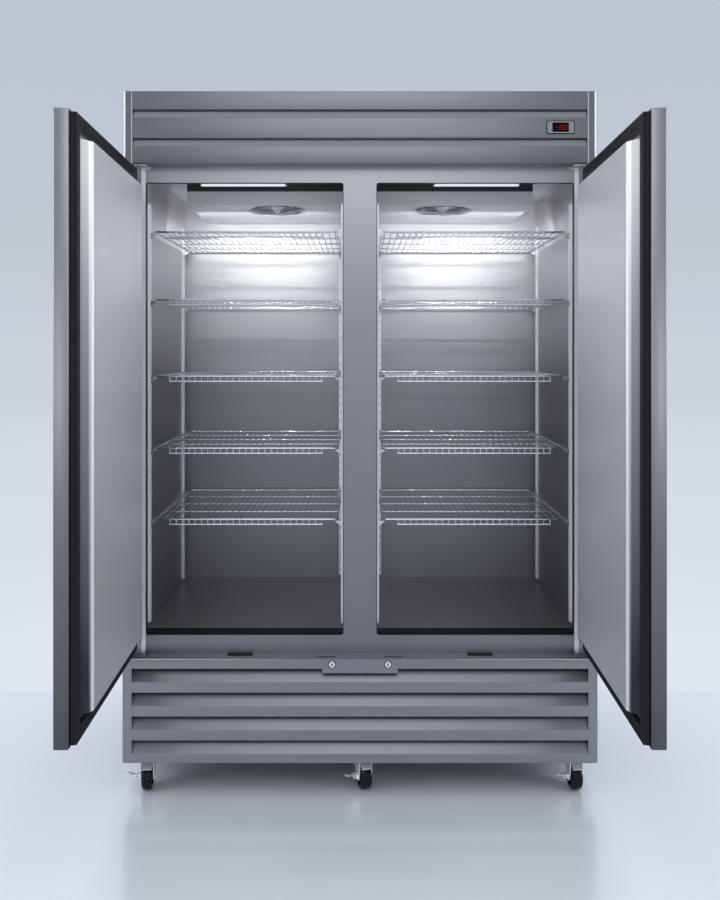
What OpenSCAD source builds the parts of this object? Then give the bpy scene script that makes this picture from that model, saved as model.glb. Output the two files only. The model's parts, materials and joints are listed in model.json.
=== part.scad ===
// Two-door upright medical freezer on casters, stored with both doors open.
// Millimetres, +Z up, +X to the right of someone facing it, -Y towards that person.
// The origin is on the floor under the middle of the whole object, open doors included.

/* [Cabinet] */
// Width over the side panels
cabinet_w = 1372; // [1200:1:1600]
// Depth from the header's face to the back
cabinet_d = 788; // [740:1:900]
// Height from the underside to the roof
cabinet_h = 1941; // [1900:1:2100]
// Height of the header above the doors
header_h = 210; // [190:1:230]
// Height of the grille under the doors
grille_h = 301; // [296:1:330]
// Width of the sheet that wraps round the header's front corners
post_w = 30; // [20:1:45]
// Outer radius of those front corners
post_r = 6; // [4:0.5:10]
// Thickness of the outer sheet steel
sheet_t = 1.2; // [0.8:0.1:2]
// How far the face frame lies behind the header's face
recess_d = 50; // [46:1:60]

/* [Walls and cavity] */
// Cabinet side to cavity
side_wall_t = 50; // [40:1:60]
// Cabinet back to cavity
back_wall_t = 78; // [60:1:90]
// Insulated floor
floor_wall_t = 70; // [55:1:80]
// Insulated ceiling
roof_wall_t = 75; // [60:1:85]
// Thickness of the liner's sheet
liner_t = 1; // [0.8:0.1:1.5]
// Width of the frame's rail above the openings
top_rail_h = 45.5; // [40:0.5:60]
// Width of the frame's rail below the openings
sill_h = 54; // [48:0.5:70]
// Width of the jamb beside each opening
jamb_w = 56.3; // [52:0.1:64]
// Width of the post between the openings
mullion_w = 97; // [80:0.5:120]
// Depth of that post behind the frame's face
mullion_d = 51; // [50:1:70]
// Sheet thickness of the post
mullion_t = 1.5; // [1:0.1:3]
// Corner radius of the openings
opening_r = 8; // [4:1:15]
// How far the cavity's floor lies above the openings' lower edge
floor_rise = 10; // [6:0.5:14]
// How far the cavity's ceiling lies above the openings' upper edge
ceiling_rise = 45; // [35:1:50]
// How far the breaker strips reach back
breaker_d = 20; // [12:1:28]
// How far the breaker strip over the sill reaches back
breaker_sill_d = 35; // [30:1:60]
// Thickness of the breaker strip beside the post
breaker_t = 2; // [1.5:0.1:3]
// Height of the breaker strip above the openings
breaker_top_h = 4; // [2:0.5:8]

/* [Doors] */
// Angle of the doors as stored, from closed
door_open = 88; // [0:0.5:119]
// Gap between a door's hinged edge and the cabinet's side
door_side_gap = 1; // [0.5:0.5:3]
// Gap between the two closed doors
door_mid_gap = 4; // [3:0.5:8]
// Gap above a door
door_top_gap = 4; // [4:0.5:8]
// Gap below a door
door_low_gap = 13; // [8:0.5:16]
// Thickness of the door's steel shell
shell_t = 34; // [33:0.5:36]
// Radius of the shell's upright edges
shell_r = 3; // [2:0.5:6]
// Width of the lip folded in behind the shell
shell_lip = 12; // [8:1:16]
// Height of the inner panel's raised face above the outer face
plug_out = 74; // [66:1:76]
// Distance from the door's edge to the foot of the raised panel
plug_foot = 54; // [53:0.5:56]
// Distance from the door's edge to the face of the raised panel
plug_inset = 63; // [60:0.5:66]
// Distance from the door's edge to the gasket
gasket_inset = 7; // [7:0.5:8]
// Width of the gasket's soft face
gasket_w = 33; // [30:0.5:34]
// Width of the gasket's foot
gasket_foot_w = 24; // [20:0.5:28]
// Height of the gasket's foot
gasket_foot_h = 5; // [3:0.5:7]
// Gap between the closed gasket and the face frame
gasket_gap = 0.3; // [0.2:0.1:0.6]
// Width of the recessed pull
pull_w = 34; // [26:1:44]
// Height of the recessed pull
pull_h = 230; // [150:1:300]
// Depth of the recessed pull
pull_d = 24; // [18:1:28]
// Distance from the door's free edge to the pull
pull_inset = 34; // [26:1:60]
// Height of the pull's middle above the door's lower edge
pull_z = 700; // [400:1:1000]

/* [Hinges] */
// Hinge pin, in from the door's hinged edge
hinge_in = 8; // [8:0.5:10]
// Hinge pin, behind the door's outer face
hinge_back = 20; // [19:0.5:21]
// Radius of the hinge pins
pin_r = 4; // [3:0.5:4]
// How far a pin reaches into the door
pin_l = 16; // [12:1:22]
// Wall of the bush round a pin
bush_t = 2.2; // [2:0.1:2.4]
// Thickness of the hinge bracket
bracket_t = 2.5; // [2:0.5:2.5]
// Width of the hinge bracket
bracket_w = 66; // [50:1:80]
// Depth of the hinge bracket
bracket_d = 42; // [40:1:44]
// Width of the tongue under the bracket that is screwed to the frame
tongue_w = 12; // [8:1:20]

/* [Header and controller] */
// Height of each of the header's upper two slats
slat_h = 82.8; // [70:0.1:90]
// Height of the header's top slat
slat_top_h = 53; // [40:0.5:60]
// How far a slat starts behind the lip above it
slat_step = 9; // [6:0.5:14]
// Height of the slope at the top of a slat
slat_slope_h = 23; // [15:1:30]
// Controller bezel width
bezel_w = 81.7; // [78:0.1:90]
// Controller bezel height
bezel_h = 38.7; // [36:0.1:42]
// Controller bezel thickness in front of the panel
bezel_t = 3; // [2.5:0.1:4]
// Depth of the controller's body behind the panel
controller_d = 48; // [40:1:56]
// Middle of the controller in from the cabinet's side
controller_in = 107; // [96:1:300]
// Width of the display window
display_w = 48; // [44:0.5:50]
// Height of the display window
display_h = 27; // [24:0.5:28]
// Width of a key strip
key_w = 8; // [6:0.5:9]
// Height of a key strip
key_h = 24; // [18:0.5:26]
// Travel of a key strip
key_travel = 0.6; // [0.4:0.1:0.8]

/* [Grille and locks] */
// Number of slots in the grille
slot_count = 4; // [3:1:4]
// Height of a slot
slot_h = 38; // [30:0.5:42]
// Distance between slots
slot_pitch = 69; // [64:0.5:70]
// Top of the grille to the top of its first slot
slot_top = 29; // [26:0.5:34]
// Grille's side to the end of a slot
slot_end = 27.5; // [20:0.5:60]
// Depth of the vane in each slot
vane_d = 30; // [22:1:36]
// Radius of the grille's lower corners
grille_r = 6; // [3:0.5:12]
// Half width of the plate that carries the locks
lock_plate_w = 109; // [104:1:125]
// Height of the plate that carries the locks
lock_plate_h = 41; // [38:0.5:44]
// Distance of a lock from the middle of the cabinet
lock_x = 80.9; // [70:0.1:84]
// Depth of a lock's middle below the grille's top
lock_drop = 15.4; // [13:0.1:17]
// Radius of a lock's barrel
lock_r = 9; // [8:0.5:9.5]
// Radius of a lock's face
lock_face_r = 11.5; // [10.5:0.5:13]
// Length of a lock's cam from its axis
cam_l = 40; // [36:1:42]
// Width of a lock's cam
cam_w = 12; // [10:0.5:14]
// Distance of the cam behind the grille's face
cam_y = 20; // [16:1:24]
// Thickness of the cam
cam_t = 3; // [2:0.5:4]

/* [Casters] */
// Height of the cabinet's underside above the floor
caster_h = 100; // [98:1:110]
// Radius of a wheel
wheel_r = 38; // [34:0.5:38]
// Width of a wheel's tread
wheel_w = 30; // [26:1:32]
// Distance from the swivel axis to the wheel's axle
caster_trail = 36; // [32:1:38]
// Outer casters in from the cabinet's side
caster_in = 58; // [52:1:80]
// Distance of the front casters behind the header's face
caster_front = 94; // [90:1:120]
// Distance of the rear casters in front of the back
caster_rear = 94; // [90:1:120]
// Swivel angle of the front casters as stored
front_yaw = [4, 18, 7];
// Swivel angle of the rear casters as stored
rear_yaw = [14, 25, 11];
// Radius of the king pin
king_r = 6; // [5:0.5:7]
// Radius of the axle
axle_r = 5; // [4:0.5:6]
// Width of a caster's mounting plate
plate_w = 92; // [90:1:100]
// Depth of a caster's mounting plate
plate_d = 68; // [66:1:80]
// Distance between a plate's bolts along its width
bolt_x = 74; // [70:1:78]
// Distance between a plate's bolts along its depth
bolt_y = 50; // [48:1:54]
// Radius of a caster bolt
bolt_r = 4; // [3:0.5:4.5]
// Length of the brake lever from its pin
brake_l = 26; // [20:1:32]

/* [Shelves] */
// Number of shelves in each bay
shelf_count = 5; // [3:1:5]
// Top shelf below the ceiling, in percent of the cavity's height
shelf_top_drop = 13.2; // [11:0.1:15]
// Steps down from each shelf to the next, in percent of the cavity's height
shelf_steps = [14.9, 16.8, 15.8, 15.6];
// Distance between the shelf's wires
wire_pitch = 19; // [16:0.5:25]
// Thickness of a wire
wire_t = 4; // [3:0.5:5]
// Thickness of the shelf's frame
shelf_rail_t = 6; // [5:0.5:8]
// Height of the shelf's front edge
shelf_edge_h = 20; // [16:1:26]
// Shelf's front edge behind the face frame
shelf_setback = 52; // [40:1:60]
// Gap between the shelf's back edge and the back wall
shelf_back_gap = 14; // [12:1:20]
// Gap between a shelf's ends and the standards
shelf_end_gap = 8; // [6:0.5:12]
// Width of a slotted standard
standard_w = 16; // [14:1:20]
// Depth of a slotted standard
standard_d = 8; // [6:0.5:12]
// Distance between a standard's slots
standard_pitch = 30; // [25:1:50]
// Length of a shelf clip
clip_l = 18; // [16:0.5:22]
// Height of a shelf clip
clip_h = 16; // [12:0.5:20]
// Width of a shelf clip
clip_w = 12; // [8:0.5:14]

/* [Cooling] */
// Gap between the evaporator's cover and the cavity's side
evap_side_gap = 89; // [76:1:150]
// Front of the evaporator's cover behind the face frame
evap_front = 210; // [190:1:240]
// Gap between the evaporator's cover and the back wall
evap_back_gap = 10; // [5:1:30]
// Height of the evaporator's cover
evap_h = 80; // [78:1:115]
// Radius of the evaporator fans
evap_fan_r = 82; // [60:1:86]
// Distance of an evaporator fan from the middle
evap_fan_x = 270; // [220:1:320]
// Distance of the evaporator fans behind the cover's front
evap_fan_y = 100; // [96:1:110]
// Radius of the condenser fan
cond_fan_r = 110; // [90:1:115]
// Middle of the condenser in from the cabinet's side
cond_in = 336; // [286:1:356]
// Width of the condenser
cond_w = 400; // [340:1:420]
// Height of the condenser
cond_h = 250; // [236:1:256]
// Radius of the compressor's shell
comp_r = 88; // [70:1:95]
// Height of the compressor's shell
comp_h = 190; // [160:1:210]
// Middle of the compressor in from the cabinet's other side
comp_in = 436; // [386:1:486]
// Middle of the compressor behind the header's face
comp_y = 433; // [400:1:470]
// Radius of the refrigerant lines
line_r = 5; // [4:0.5:6]
// Radius of the probe port's bore
port_r = 12.5; // [8:0.5:16]
// Height of the probe port above the floor
port_z = 700; // [600:1:760]

/* [Hidden] */
$fn = 48;

// Clearances: a turning fit, a snug fit, a loose hole, and the gap between things that move
fit = 0.06;
snug = 0.1;
loose = 0.3;
gap = 0.3;
cut = 5;

half_w = cabinet_w / 2;
inside_w = half_w - sheet_t;
base_z = caster_h;
roof_z = base_z + cabinet_h;
sill_z = base_z + grille_h;
header_z = roof_z - header_h;
opening_z = sill_z + sill_h;
opening_top = header_z - top_rail_h;
opening_h = opening_top - opening_z;
opening_x = half_w - jamb_w;
opening_w = opening_x - mullion_w / 2;
floor_z = opening_z + floor_rise;
ceiling_z = opening_top + ceiling_rise;
cavity_x = half_w - side_wall_t;
frame_back = recess_d + sheet_t;
cavity_back = cabinet_d - back_wall_t;
deck_t = 3;
deck_z = base_z + deck_t;

door_w = half_w - door_side_gap - door_mid_gap / 2;
door_h = header_z - sill_z - door_top_gap - door_low_gap;
door_z = sill_z + door_low_gap;
pivot_x = half_w - door_side_gap - hinge_in;
gasket_top = recess_d - gasket_gap;
bush_r = pin_r + bush_t;
bush_l = pin_l + 1;

// The free corner of an open door reaches furthest forward, rounding included
door_reach = (door_w - hinge_in - shell_r) * sin(door_open)
    - (shell_r - hinge_back) * cos(door_open) + shell_r - hinge_back;
// This puts the origin under the middle of the object with its doors open
front_y = (door_reach - cabinet_d) / 2;

lock_z = sill_z - lock_drop;
slat_lips = [roof_z - slat_top_h, roof_z - slat_top_h - slat_h];
controller_x = half_w - controller_in;
controller_z = slat_lips[0] - slat_h / 2 - slat_slope_h / 2 + 1;

shelf_x0 = mullion_w / 2 + standard_d + shelf_end_gap;
shelf_x1 = cavity_x - standard_d - shelf_end_gap;
shelf_w = shelf_x1 - shelf_x0;
shelf_y0 = recess_d + shelf_setback;
shelf_d = cavity_back - shelf_back_gap - shelf_y0;
function steps_down(n) = n <= 0 ? 0 : shelf_steps[n - 1] + steps_down(n - 1);
shelf_share = (ceiling_z - floor_z) / 100;
shelf_z = [for (n = [0 : shelf_count - 1]) ceiling_z - (shelf_top_drop + steps_down(n)) * shelf_share];
standard_front = shelf_y0 + 2;
standard_rear = cavity_back - 60;
standard_z0 = floor_z + 12;

evap_w = cavity_x - evap_side_gap;
evap_y0 = recess_d + evap_front;
evap_y1 = cavity_back - evap_back_gap;
evap_z = ceiling_z - evap_h;
evap_fan_z = evap_z + 24;
cond_x = cond_in - half_w;
comp_x = half_w - comp_in;
cond_y = recess_d + 25;
cond_d = 50;
cond_fan_y = cond_y + cond_d + 30;
cond_fan_z = deck_z + cond_h / 2;
fan_shaft_r = 4;

module at_front() translate([0, front_y, 0]) children();
module both_sides() for (side = [0, 1]) mirror([side, 0, 0]) children();

// A rectangle with round corners, from its lower left corner
module round_rect(w, h, r) {
    translate([r, 0]) square([w - 2 * r, h]);
    translate([0, r]) square([w, h - 2 * r]);
    for (x = [r, w - r], y = [r, h - r]) translate([x, y]) circle(r);
}

// An outline drawn in Y and Z, given a thickness along X
module along_x(x0, length) translate([x0, 0, 0]) rotate([90, 0, 90]) linear_extrude(length) children();

// An outline drawn in X and Z, given a thickness backwards from y0
module facing(y0, depth) translate([0, y0 + depth, 0]) rotate([90, 0, 0]) linear_extrude(depth) children();

module box_of(low, high) translate(low) cube(high - low);

module rod_x(x0, length, r) translate([x0, 0, 0]) rotate([0, 90, 0]) cylinder(length, r, r);
module rod_y(y0, length, r) translate([0, y0, 0]) rotate([-90, 0, 0]) cylinder(length, r, r);

// Outer shell of the cabinet

// One side sheet: notched for the door, and wrapped round the header's front corner
module side_panel() {
    along_x(-half_w, sheet_t) polygon([
        [sheet_t, base_z], [cabinet_d, base_z], [cabinet_d, roof_z], [post_r, roof_z],
        [post_r, header_z], [recess_d, header_z], [recess_d, sill_z], [sheet_t, sill_z]
    ]);
    translate([-half_w, 0, header_z]) linear_extrude(header_h) {
        intersection() {
            translate([post_r, post_r]) difference() {
                circle(post_r);
                circle(post_r - sheet_t);
            }
            square(post_r);
        }
        translate([post_r, 0]) square([post_w - post_r, sheet_t]);
    }
}

module side_panel_left() color("#77797d") at_front() side_panel();
module side_panel_right() color("#77797d") mirror([1, 0, 0]) at_front() side_panel();

// How far the inlet, the vents and the machinery stay in from the cabinet's sides
inlet_in = 126;
inlet_x = half_w - inlet_in;
inlet_z = 250;
inlet_w = 40;
inlet_h = 34;
inlet_d = 28;

vent_count = 6;
vent_h = 9;
vent_pitch = 24;
vent_x = 120;
vent_in = 246;
vent_w = half_w - vent_x - vent_in;
vent_z = base_z + 70;
port_wall = 2.5;
sleeve_r = port_r + port_wall;

module back_panel() color("#77797d") at_front() facing(cabinet_d - sheet_t, sheet_t) difference() {
    translate([-inside_w, base_z]) square([2 * inside_w, cabinet_h]);
    translate([0, port_z]) circle(sleeve_r + loose);
    translate([inlet_x - inlet_w / 2 - loose, inlet_z - inlet_h / 2 - loose])
        square([inlet_w + 2 * loose, inlet_h + 2 * loose]);
    for (n = [0 : vent_count - 1], side = [-1, 1])
        translate([side * (vent_x + vent_w / 2) - vent_w / 2, vent_z + n * vent_pitch])
            square([vent_w, vent_h]);
}

module top_panel() color("#77797d") at_front() {
    box_of([-inside_w, post_r, roof_z - sheet_t], [inside_w, cabinet_d - sheet_t, roof_z]);
    box_of([-half_w + post_r, sheet_t, roof_z - sheet_t], [half_w - post_r, post_r + sheet_t, roof_z]);
}

// Open tray that carries the machinery, with the caster plates bolted under it
base_lip_h = 20;
base_lip_t = 2;

module base_frame() color("#4a4c50") at_front() difference() {
    box_of([-inside_w, sheet_t, base_z], [inside_w, cabinet_d - sheet_t, deck_z + base_lip_h]);
    box_of(
        [-inside_w + base_lip_t, sheet_t + base_lip_t, deck_z],
        [inside_w - base_lip_t, cabinet_d - sheet_t - base_lip_t, deck_z + base_lip_h + cut]
    );
    each_caster() plate_holes(base_z - cut, deck_t + 2 * cut);
}

// Walls of the cavity

module liner_box(t) box_of(
    [-cavity_x - t, frame_back, floor_z - t], [cavity_x + t, cavity_back + t, ceiling_z + t]
);

module sill_strip_space() box_of(
    [-cavity_x - liner_t - cut, frame_back - cut, floor_z - floor_rise],
    [cavity_x + liner_t + cut, frame_back + breaker_sill_d, floor_z]
);

// The channel in the foam's back that the refrigerant lines rise in
riser_in = 266;
riser_x = half_w - riser_in;
riser_z = ceiling_z - 40;
riser_w = 42;
riser_d = 20;
riser_over = 14;
lines_apart = 21;

module at_lines() for (side = [-1, 1]) translate([riser_x + side * lines_apart / 2, 0, riser_z]) children();

module riser_channel() {
    translate([riser_x, cabinet_d - sheet_t, 0]) box_of(
        [-riser_w / 2, -riser_d, floor_z - floor_wall_t - cut],
        [riser_w / 2, cut, riser_z + riser_over]
    );
    at_lines() rod_y(cavity_back - cut, back_wall_t, line_r + loose);
}

module insulation() color("#e8dcae") at_front() difference() {
    box_of(
        [-inside_w, frame_back, floor_z - floor_wall_t],
        [inside_w, cabinet_d - sheet_t, ceiling_z + roof_wall_t]
    );
    box_of(
        [-cavity_x - liner_t, frame_back - cut, floor_z - liner_t],
        [cavity_x + liner_t, cavity_back + liner_t, ceiling_z + liner_t]
    );
    sill_strip_space();
    riser_channel();
    translate([0, 0, port_z]) rod_y(cavity_back - cut, back_wall_t + cut, sleeve_r + loose);
}

// Stainless box with a sleeve through the back wall for a probe's lead
module inner_liner() color("#c3c5c8") at_front() difference() {
    union() {
        difference() {
            liner_box(liner_t);
            box_of([-cavity_x, frame_back - cut, floor_z], [cavity_x, cavity_back, ceiling_z]);
            sill_strip_space();
        }
        translate([0, 0, port_z]) rod_y(cavity_back, back_wall_t, sleeve_r);
    }
    translate([0, 0, port_z]) rod_y(cavity_back - cut, back_wall_t + 2 * cut, port_r);
    at_lines() rod_y(cavity_back - cut, 2 * cut, line_r + loose);
}

module bay_opening() translate([-opening_x, opening_z]) round_rect(opening_w, opening_h, opening_r);

// Stainless frame round both openings, with the hollow post between them
module face_frame() color("#c0c2c5") at_front() {
    facing(recess_d, sheet_t) difference() {
        translate([-inside_w, sill_z]) square([2 * inside_w, ceiling_z + roof_wall_t - sill_z]);
        both_sides() bay_opening();
    }
    difference() {
        box_of(
            [-mullion_w / 2, recess_d, floor_z],
            [mullion_w / 2, recess_d + mullion_d, opening_top]
        );
        box_of(
            [-mullion_w / 2 + mullion_t, frame_back, floor_z + mullion_t],
            [mullion_w / 2 - mullion_t, recess_d + mullion_d - mullion_t, opening_top - mullion_t]
        );
    }
}

// One black plastic loop behind each opening's edge, deeper over the sill
module breaker_strips() color("#1b1c1e") at_front() both_sides() {
    difference() {
        box_of(
            [-cavity_x, frame_back, opening_z],
            [-mullion_w / 2, frame_back + breaker_d, opening_top + breaker_top_h]
        );
        box_of(
            [-opening_x, frame_back - cut, floor_z],
            [-mullion_w / 2 - breaker_t, frame_back + breaker_d + cut, opening_top]
        );
    }
    box_of(
        [-cavity_x, frame_back, opening_z],
        [-mullion_w / 2, frame_back + breaker_sill_d, floor_z]
    );
}

// Header with its three overlapping slats, and the controller

header_return_d = 24;

module slat_profile() {
    front = concat(
        [[0, roof_z]],
        [for (lip = slat_lips) each [[0, lip], [slat_step, lip], [0, lip - slat_slope_h]]],
        [[0, header_z]]
    );
    back = concat(
        [[sheet_t, header_z]],
        [for (n = [1, 0]) each [
            [sheet_t, slat_lips[n] - slat_slope_h],
            [slat_step + sheet_t, slat_lips[n] + sheet_t],
            [sheet_t, slat_lips[n] + sheet_t]
        ]],
        [[sheet_t, roof_z]]
    );
    polygon(concat(front, back));
    translate([0, header_z]) square([recess_d, sheet_t]);
    translate([0, roof_z - 2 * sheet_t]) square([header_return_d, sheet_t]);
}

controller_body_w = 72;
controller_body_h = 30;
header_screw_in = 165;
header_screw_x = [header_screw_in - half_w, 0, half_w - header_screw_in];
header_screw_y = 30;
screw_r = 2;

module controller_body(y0, y1, grow) translate([controller_x, 0, controller_z]) box_of(
    [-controller_body_w / 2 - grow, y0, -controller_body_h / 2 - grow],
    [controller_body_w / 2 + grow, y1, controller_body_h / 2 + grow]
);

module header_panel() color("#6f7277") at_front() difference() {
    along_x(-half_w + post_w + gap, 2 * (half_w - post_w - gap)) slat_profile();
    controller_body(-cut, slat_step + cut, loose);
    for (x = header_screw_x) translate([x, header_screw_y, header_z - cut])
        cylinder(2 * cut, screw_r + loose, screw_r + loose);
}

key_x = 31;
key_t = 2.6;
key_proud = 0.2;
key_r = 1.5;
key_pocket = key_t + key_travel + gap;
bezel_r = 5;
display_r = 1.5;
display_sunk = 0.6;
display_d = 1;

// A rectangle with round corners, placed by its middle on the controller
module on_controller(x, w, h, r) translate([controller_x + x - w / 2, controller_z - h / 2])
    round_rect(w, h, r);
module key_outline(side, grow)
    on_controller(side * key_x, key_w + 2 * grow, key_h + 2 * grow, key_r + grow);

module controller_bezel() color("#a9abae") at_front() difference() {
    union() {
        facing(-bezel_t, bezel_t) on_controller(0, bezel_w, bezel_h, bezel_r);
        controller_body(-bezel_t / 2, controller_d, 0);
    }
    facing(-bezel_t - cut, bezel_t + cut + display_d) on_controller(0, display_w, display_h, display_r);
    for (side = [-1, 1]) facing(-bezel_t - cut, cut + key_pocket) key_outline(side, gap);
}

module controller_display() color("#0b0c0e") at_front()
    facing(-bezel_t + display_sunk, bezel_t - display_sunk + display_d)
        on_controller(0, display_w - 2 * snug, display_h - 2 * snug, display_r - snug);

module key_strip(side) color("#b6b8bb") at_front()
    facing(-bezel_t - key_proud, key_t + key_proud) key_outline(side, 0);

module key_strip_left() key_strip(-1);
module key_strip_right() key_strip(1);

// Lower grille with its locks

module grille_outline() {
    translate([-half_w, base_z + grille_r]) square([cabinet_w, grille_h - grille_r]);
    translate([-half_w + grille_r, base_z]) square([cabinet_w - 2 * grille_r, grille_r]);
    for (side = [-1, 1]) translate([side * (half_w - grille_r), base_z + grille_r]) circle(grille_r);
}

function slot_z(n) = sill_z - slot_top - n * slot_pitch - slot_h;
slot_w = cabinet_w - 2 * slot_end;
vane_rise = 3;

// The vane climbs backwards from the slot's lower edge, between two cheeks
module vane(n) {
    z0 = slot_z(n);
    z1 = z0 + slot_h + vane_rise;
    along_x(-slot_w / 2, slot_w) polygon([
        [0, z0 - sheet_t], [sheet_t, z0 - sheet_t], [vane_d, z1 - sheet_t], [vane_d, z1], [0, z0]
    ]);
    for (x = [-slot_w / 2 - sheet_t, slot_w / 2]) along_x(x, sheet_t) polygon([
        [0, z0 - sheet_t], [sheet_t, z0 - sheet_t], [vane_d, z1 - sheet_t], [vane_d, z1],
        [0, z0 + slot_h + sheet_t]
    ]);
}

cam_slot_in = cam_w / 2 + 4;
cam_slot_out = cam_l + 4;
cam_slot_d = cam_t + 6;

module cam_slot(z0, z1) box_of(
    [-lock_x - cam_slot_out, cam_y + cam_t / 2 - cam_slot_d / 2, z0],
    [-lock_x + cam_slot_in, cam_y + cam_t / 2 + cam_slot_d / 2, z1]
);

module grille_panel() color("#73767b") at_front() {
    difference() {
        union() {
            facing(0, sheet_t) difference() {
                grille_outline();
                for (n = [0 : slot_count - 1])
                    translate([-slot_w / 2, slot_z(n)]) square([slot_w, slot_h]);
            }
            for (n = [0 : slot_count - 1]) vane(n);
            box_of([-inside_w, 0, sill_z - sheet_t], [inside_w, recess_d, sill_z]);
            facing(-sheet_t, sheet_t) translate([-lock_plate_w, sill_z - lock_plate_h])
                square([2 * lock_plate_w, lock_plate_h]);
        }
        both_sides() {
            translate([-lock_x, 0, lock_z]) rod_y(-cut, 4 * cut, lock_r + fit);
            cam_slot(sill_z - cut, sill_z + cut);
        }
    }
}

lock_face_t = 3;
lock_end = 2;
key_slit_w = 1.6;
key_slit_h = 9;

// A lock turns a quarter turn, and its cam then stands up through the ledge into the door
module lock() translate([-lock_x, 0, lock_z]) difference() {
    face_y = -sheet_t - gap - lock_face_t;
    union() {
        rod_y(face_y, lock_face_t, lock_face_r);
        rod_y(face_y + lock_face_t / 2, cam_y + cam_t + lock_end - face_y - lock_face_t / 2, lock_r);
        box_of([-cam_l, cam_y, -cam_w / 2], [0, cam_y + cam_t, cam_w / 2]);
    }
    box_of(
        [-key_slit_w / 2, face_y - cut, -key_slit_h / 2],
        [key_slit_w / 2, face_y + lock_face_t / 2, key_slit_h / 2]
    );
}

module lock_left() color("#c9cacc") at_front() lock();
module lock_right() color("#c9cacc") mirror([1, 0, 0]) at_front() lock();

// Hinges

tongue_h = 7;
shoulder_out = 3;

// A plate that lies flat on header or ledge, with a tongue on the frame and its pin fused in;
// where the gap is wide, a shoulder on the pin carries the door's bush
module hinge_bracket(end_gap) {
    box_of([-inside_w, recess_d - bracket_d, -bracket_t], [-inside_w + bracket_w, recess_d, 0]);
    box_of(
        [-inside_w + bracket_w - tongue_w, recess_d - bracket_t / 2, -bracket_t - tongue_h],
        [-inside_w + bracket_w, recess_d, 0]
    );
    translate([-pivot_x, hinge_back, -end_gap - pin_l]) cylinder(pin_l + end_gap - 1, pin_r, pin_r);
    shoulder_h = end_gap - bracket_t - bush_out;
    if (shoulder_h > gap) translate([-pivot_x, hinge_back, -end_gap + bush_out + fit])
        cylinder(shoulder_h + 1, pin_r + shoulder_out, pin_r + shoulder_out);
}

module hinge_brackets() color("#b9bbbe") at_front() both_sides() {
    translate([0, 0, header_z]) hinge_bracket(door_top_gap);
    translate([0, 0, sill_z]) mirror([0, 0, 1]) hinge_bracket(door_low_gap);
}

// How far a bush stands out of the door's end
bush_out = 1;

module hinge_bushes() color("#e4e4df") at_front() both_sides()
    translate([-pivot_x, hinge_back, door_z + door_h / 2]) for (end = [0, 1]) mirror([0, 0, end])
        translate([0, 0, door_h / 2 - bush_l]) difference() {
            cylinder(bush_l + bush_out, bush_r, bush_r);
            translate([0, 0, -cut]) cylinder(bush_l + bush_out + 2 * cut, pin_r + fit, pin_r + fit);
        }

// Doors, drawn closed from the hinged lower corner and then swung open

module hung() at_front() translate([-pivot_x, hinge_back, door_z]) rotate([0, 0, -door_open])
    translate([-hinge_in, -hinge_back, 0]) children();

module bush_holes(r) translate([hinge_in, hinge_back, 0]) {
    translate([0, 0, -cut]) cylinder(bush_l + cut + gap, r, r);
    translate([0, 0, door_h - bush_l - gap]) cylinder(bush_l + gap + cut, r, r);
}

// Room for the raised cam in the door's lower edge, in the door's own place
module cam_pocket(grow) {
    x1 = door_w + door_mid_gap / 2 - lock_x;
    cam_top = lock_z + cam_l - door_z;
    translate([0, cam_y + cam_t / 2, 0]) box_of(
        [x1 - cam_slot_out - grow, -cam_slot_d / 2 - grow, -cut],
        [x1 + cam_slot_in + grow, cam_slot_d / 2 + grow, cam_top + 4 + grow]
    );
}

pull_x = door_w - pull_inset - pull_w;
module pull_space(grow) box_of(
    [pull_x - grow, -cut, pull_z - pull_h / 2 - grow],
    [pull_x + pull_w + grow, pull_d + grow, pull_z + pull_h / 2 + grow]
);

module door_skin() difference() {
    union() {
        difference() {
            linear_extrude(door_h) round_rect(door_w, shell_t, shell_r);
            box_of([sheet_t, sheet_t, sheet_t], [door_w - sheet_t, shell_t - sheet_t, door_h - sheet_t]);
            box_of([shell_lip, cut, shell_lip], [door_w - shell_lip, shell_t + cut, door_h - shell_lip]);
        }
        intersection() {
            pull_space(sheet_t);
            box_of([0, 0, 0], [door_w, shell_t, door_h]);
        }
    }
    pull_space(0);
    bush_holes(bush_r + fit);
    cam_pocket(0);
}

// A block that narrows from its foot to its face; grow makes it smaller or larger all round
module plug(y0, y1, grow) {
    slope = (plug_inset - plug_foot) / (plug_out - shell_t);
    foot = plug_foot + (y0 - shell_t) * slope - grow;
    face = plug_foot + (y1 - shell_t) * slope - grow;
    hull() {
        translate([0, y0, 0]) box_of([foot, 0, foot], [door_w - foot, 0.01, door_h - foot]);
        translate([0, y1 - 0.01, 0]) box_of([face, 0, face], [door_w - face, 0.01, door_h - face]);
    }
}

module door_foam() difference() {
    union() {
        box_of([sheet_t, sheet_t, sheet_t], [door_w - sheet_t, shell_t - sheet_t, door_h - sheet_t]);
        box_of([shell_lip, sheet_t, shell_lip], [door_w - shell_lip, shell_t, door_h - shell_lip]);
        plug(shell_t - 1, plug_out - liner_t - snug, -liner_t - 2 * snug);
    }
    pull_space(sheet_t + snug);
    bush_holes(bush_r + gap);
    cam_pocket(gap);
}

module door_liner() difference() {
    union() {
        box_of(
            [shell_lip, shell_t, shell_lip],
            [door_w - shell_lip, shell_t + liner_t, door_h - shell_lip]
        );
        plug(shell_t, plug_out, 0);
    }
    plug(shell_t - 2, plug_out - liner_t, -liner_t);
}

module ring_on_door(inset, w, y0, y1) facing(y0, y1 - y0) difference() {
    translate([inset, inset]) round_rect(door_w - 2 * inset, door_h - 2 * inset, 4);
    translate([inset + w, inset + w]) square([door_w - 2 * (inset + w), door_h - 2 * (inset + w)]);
}

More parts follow.
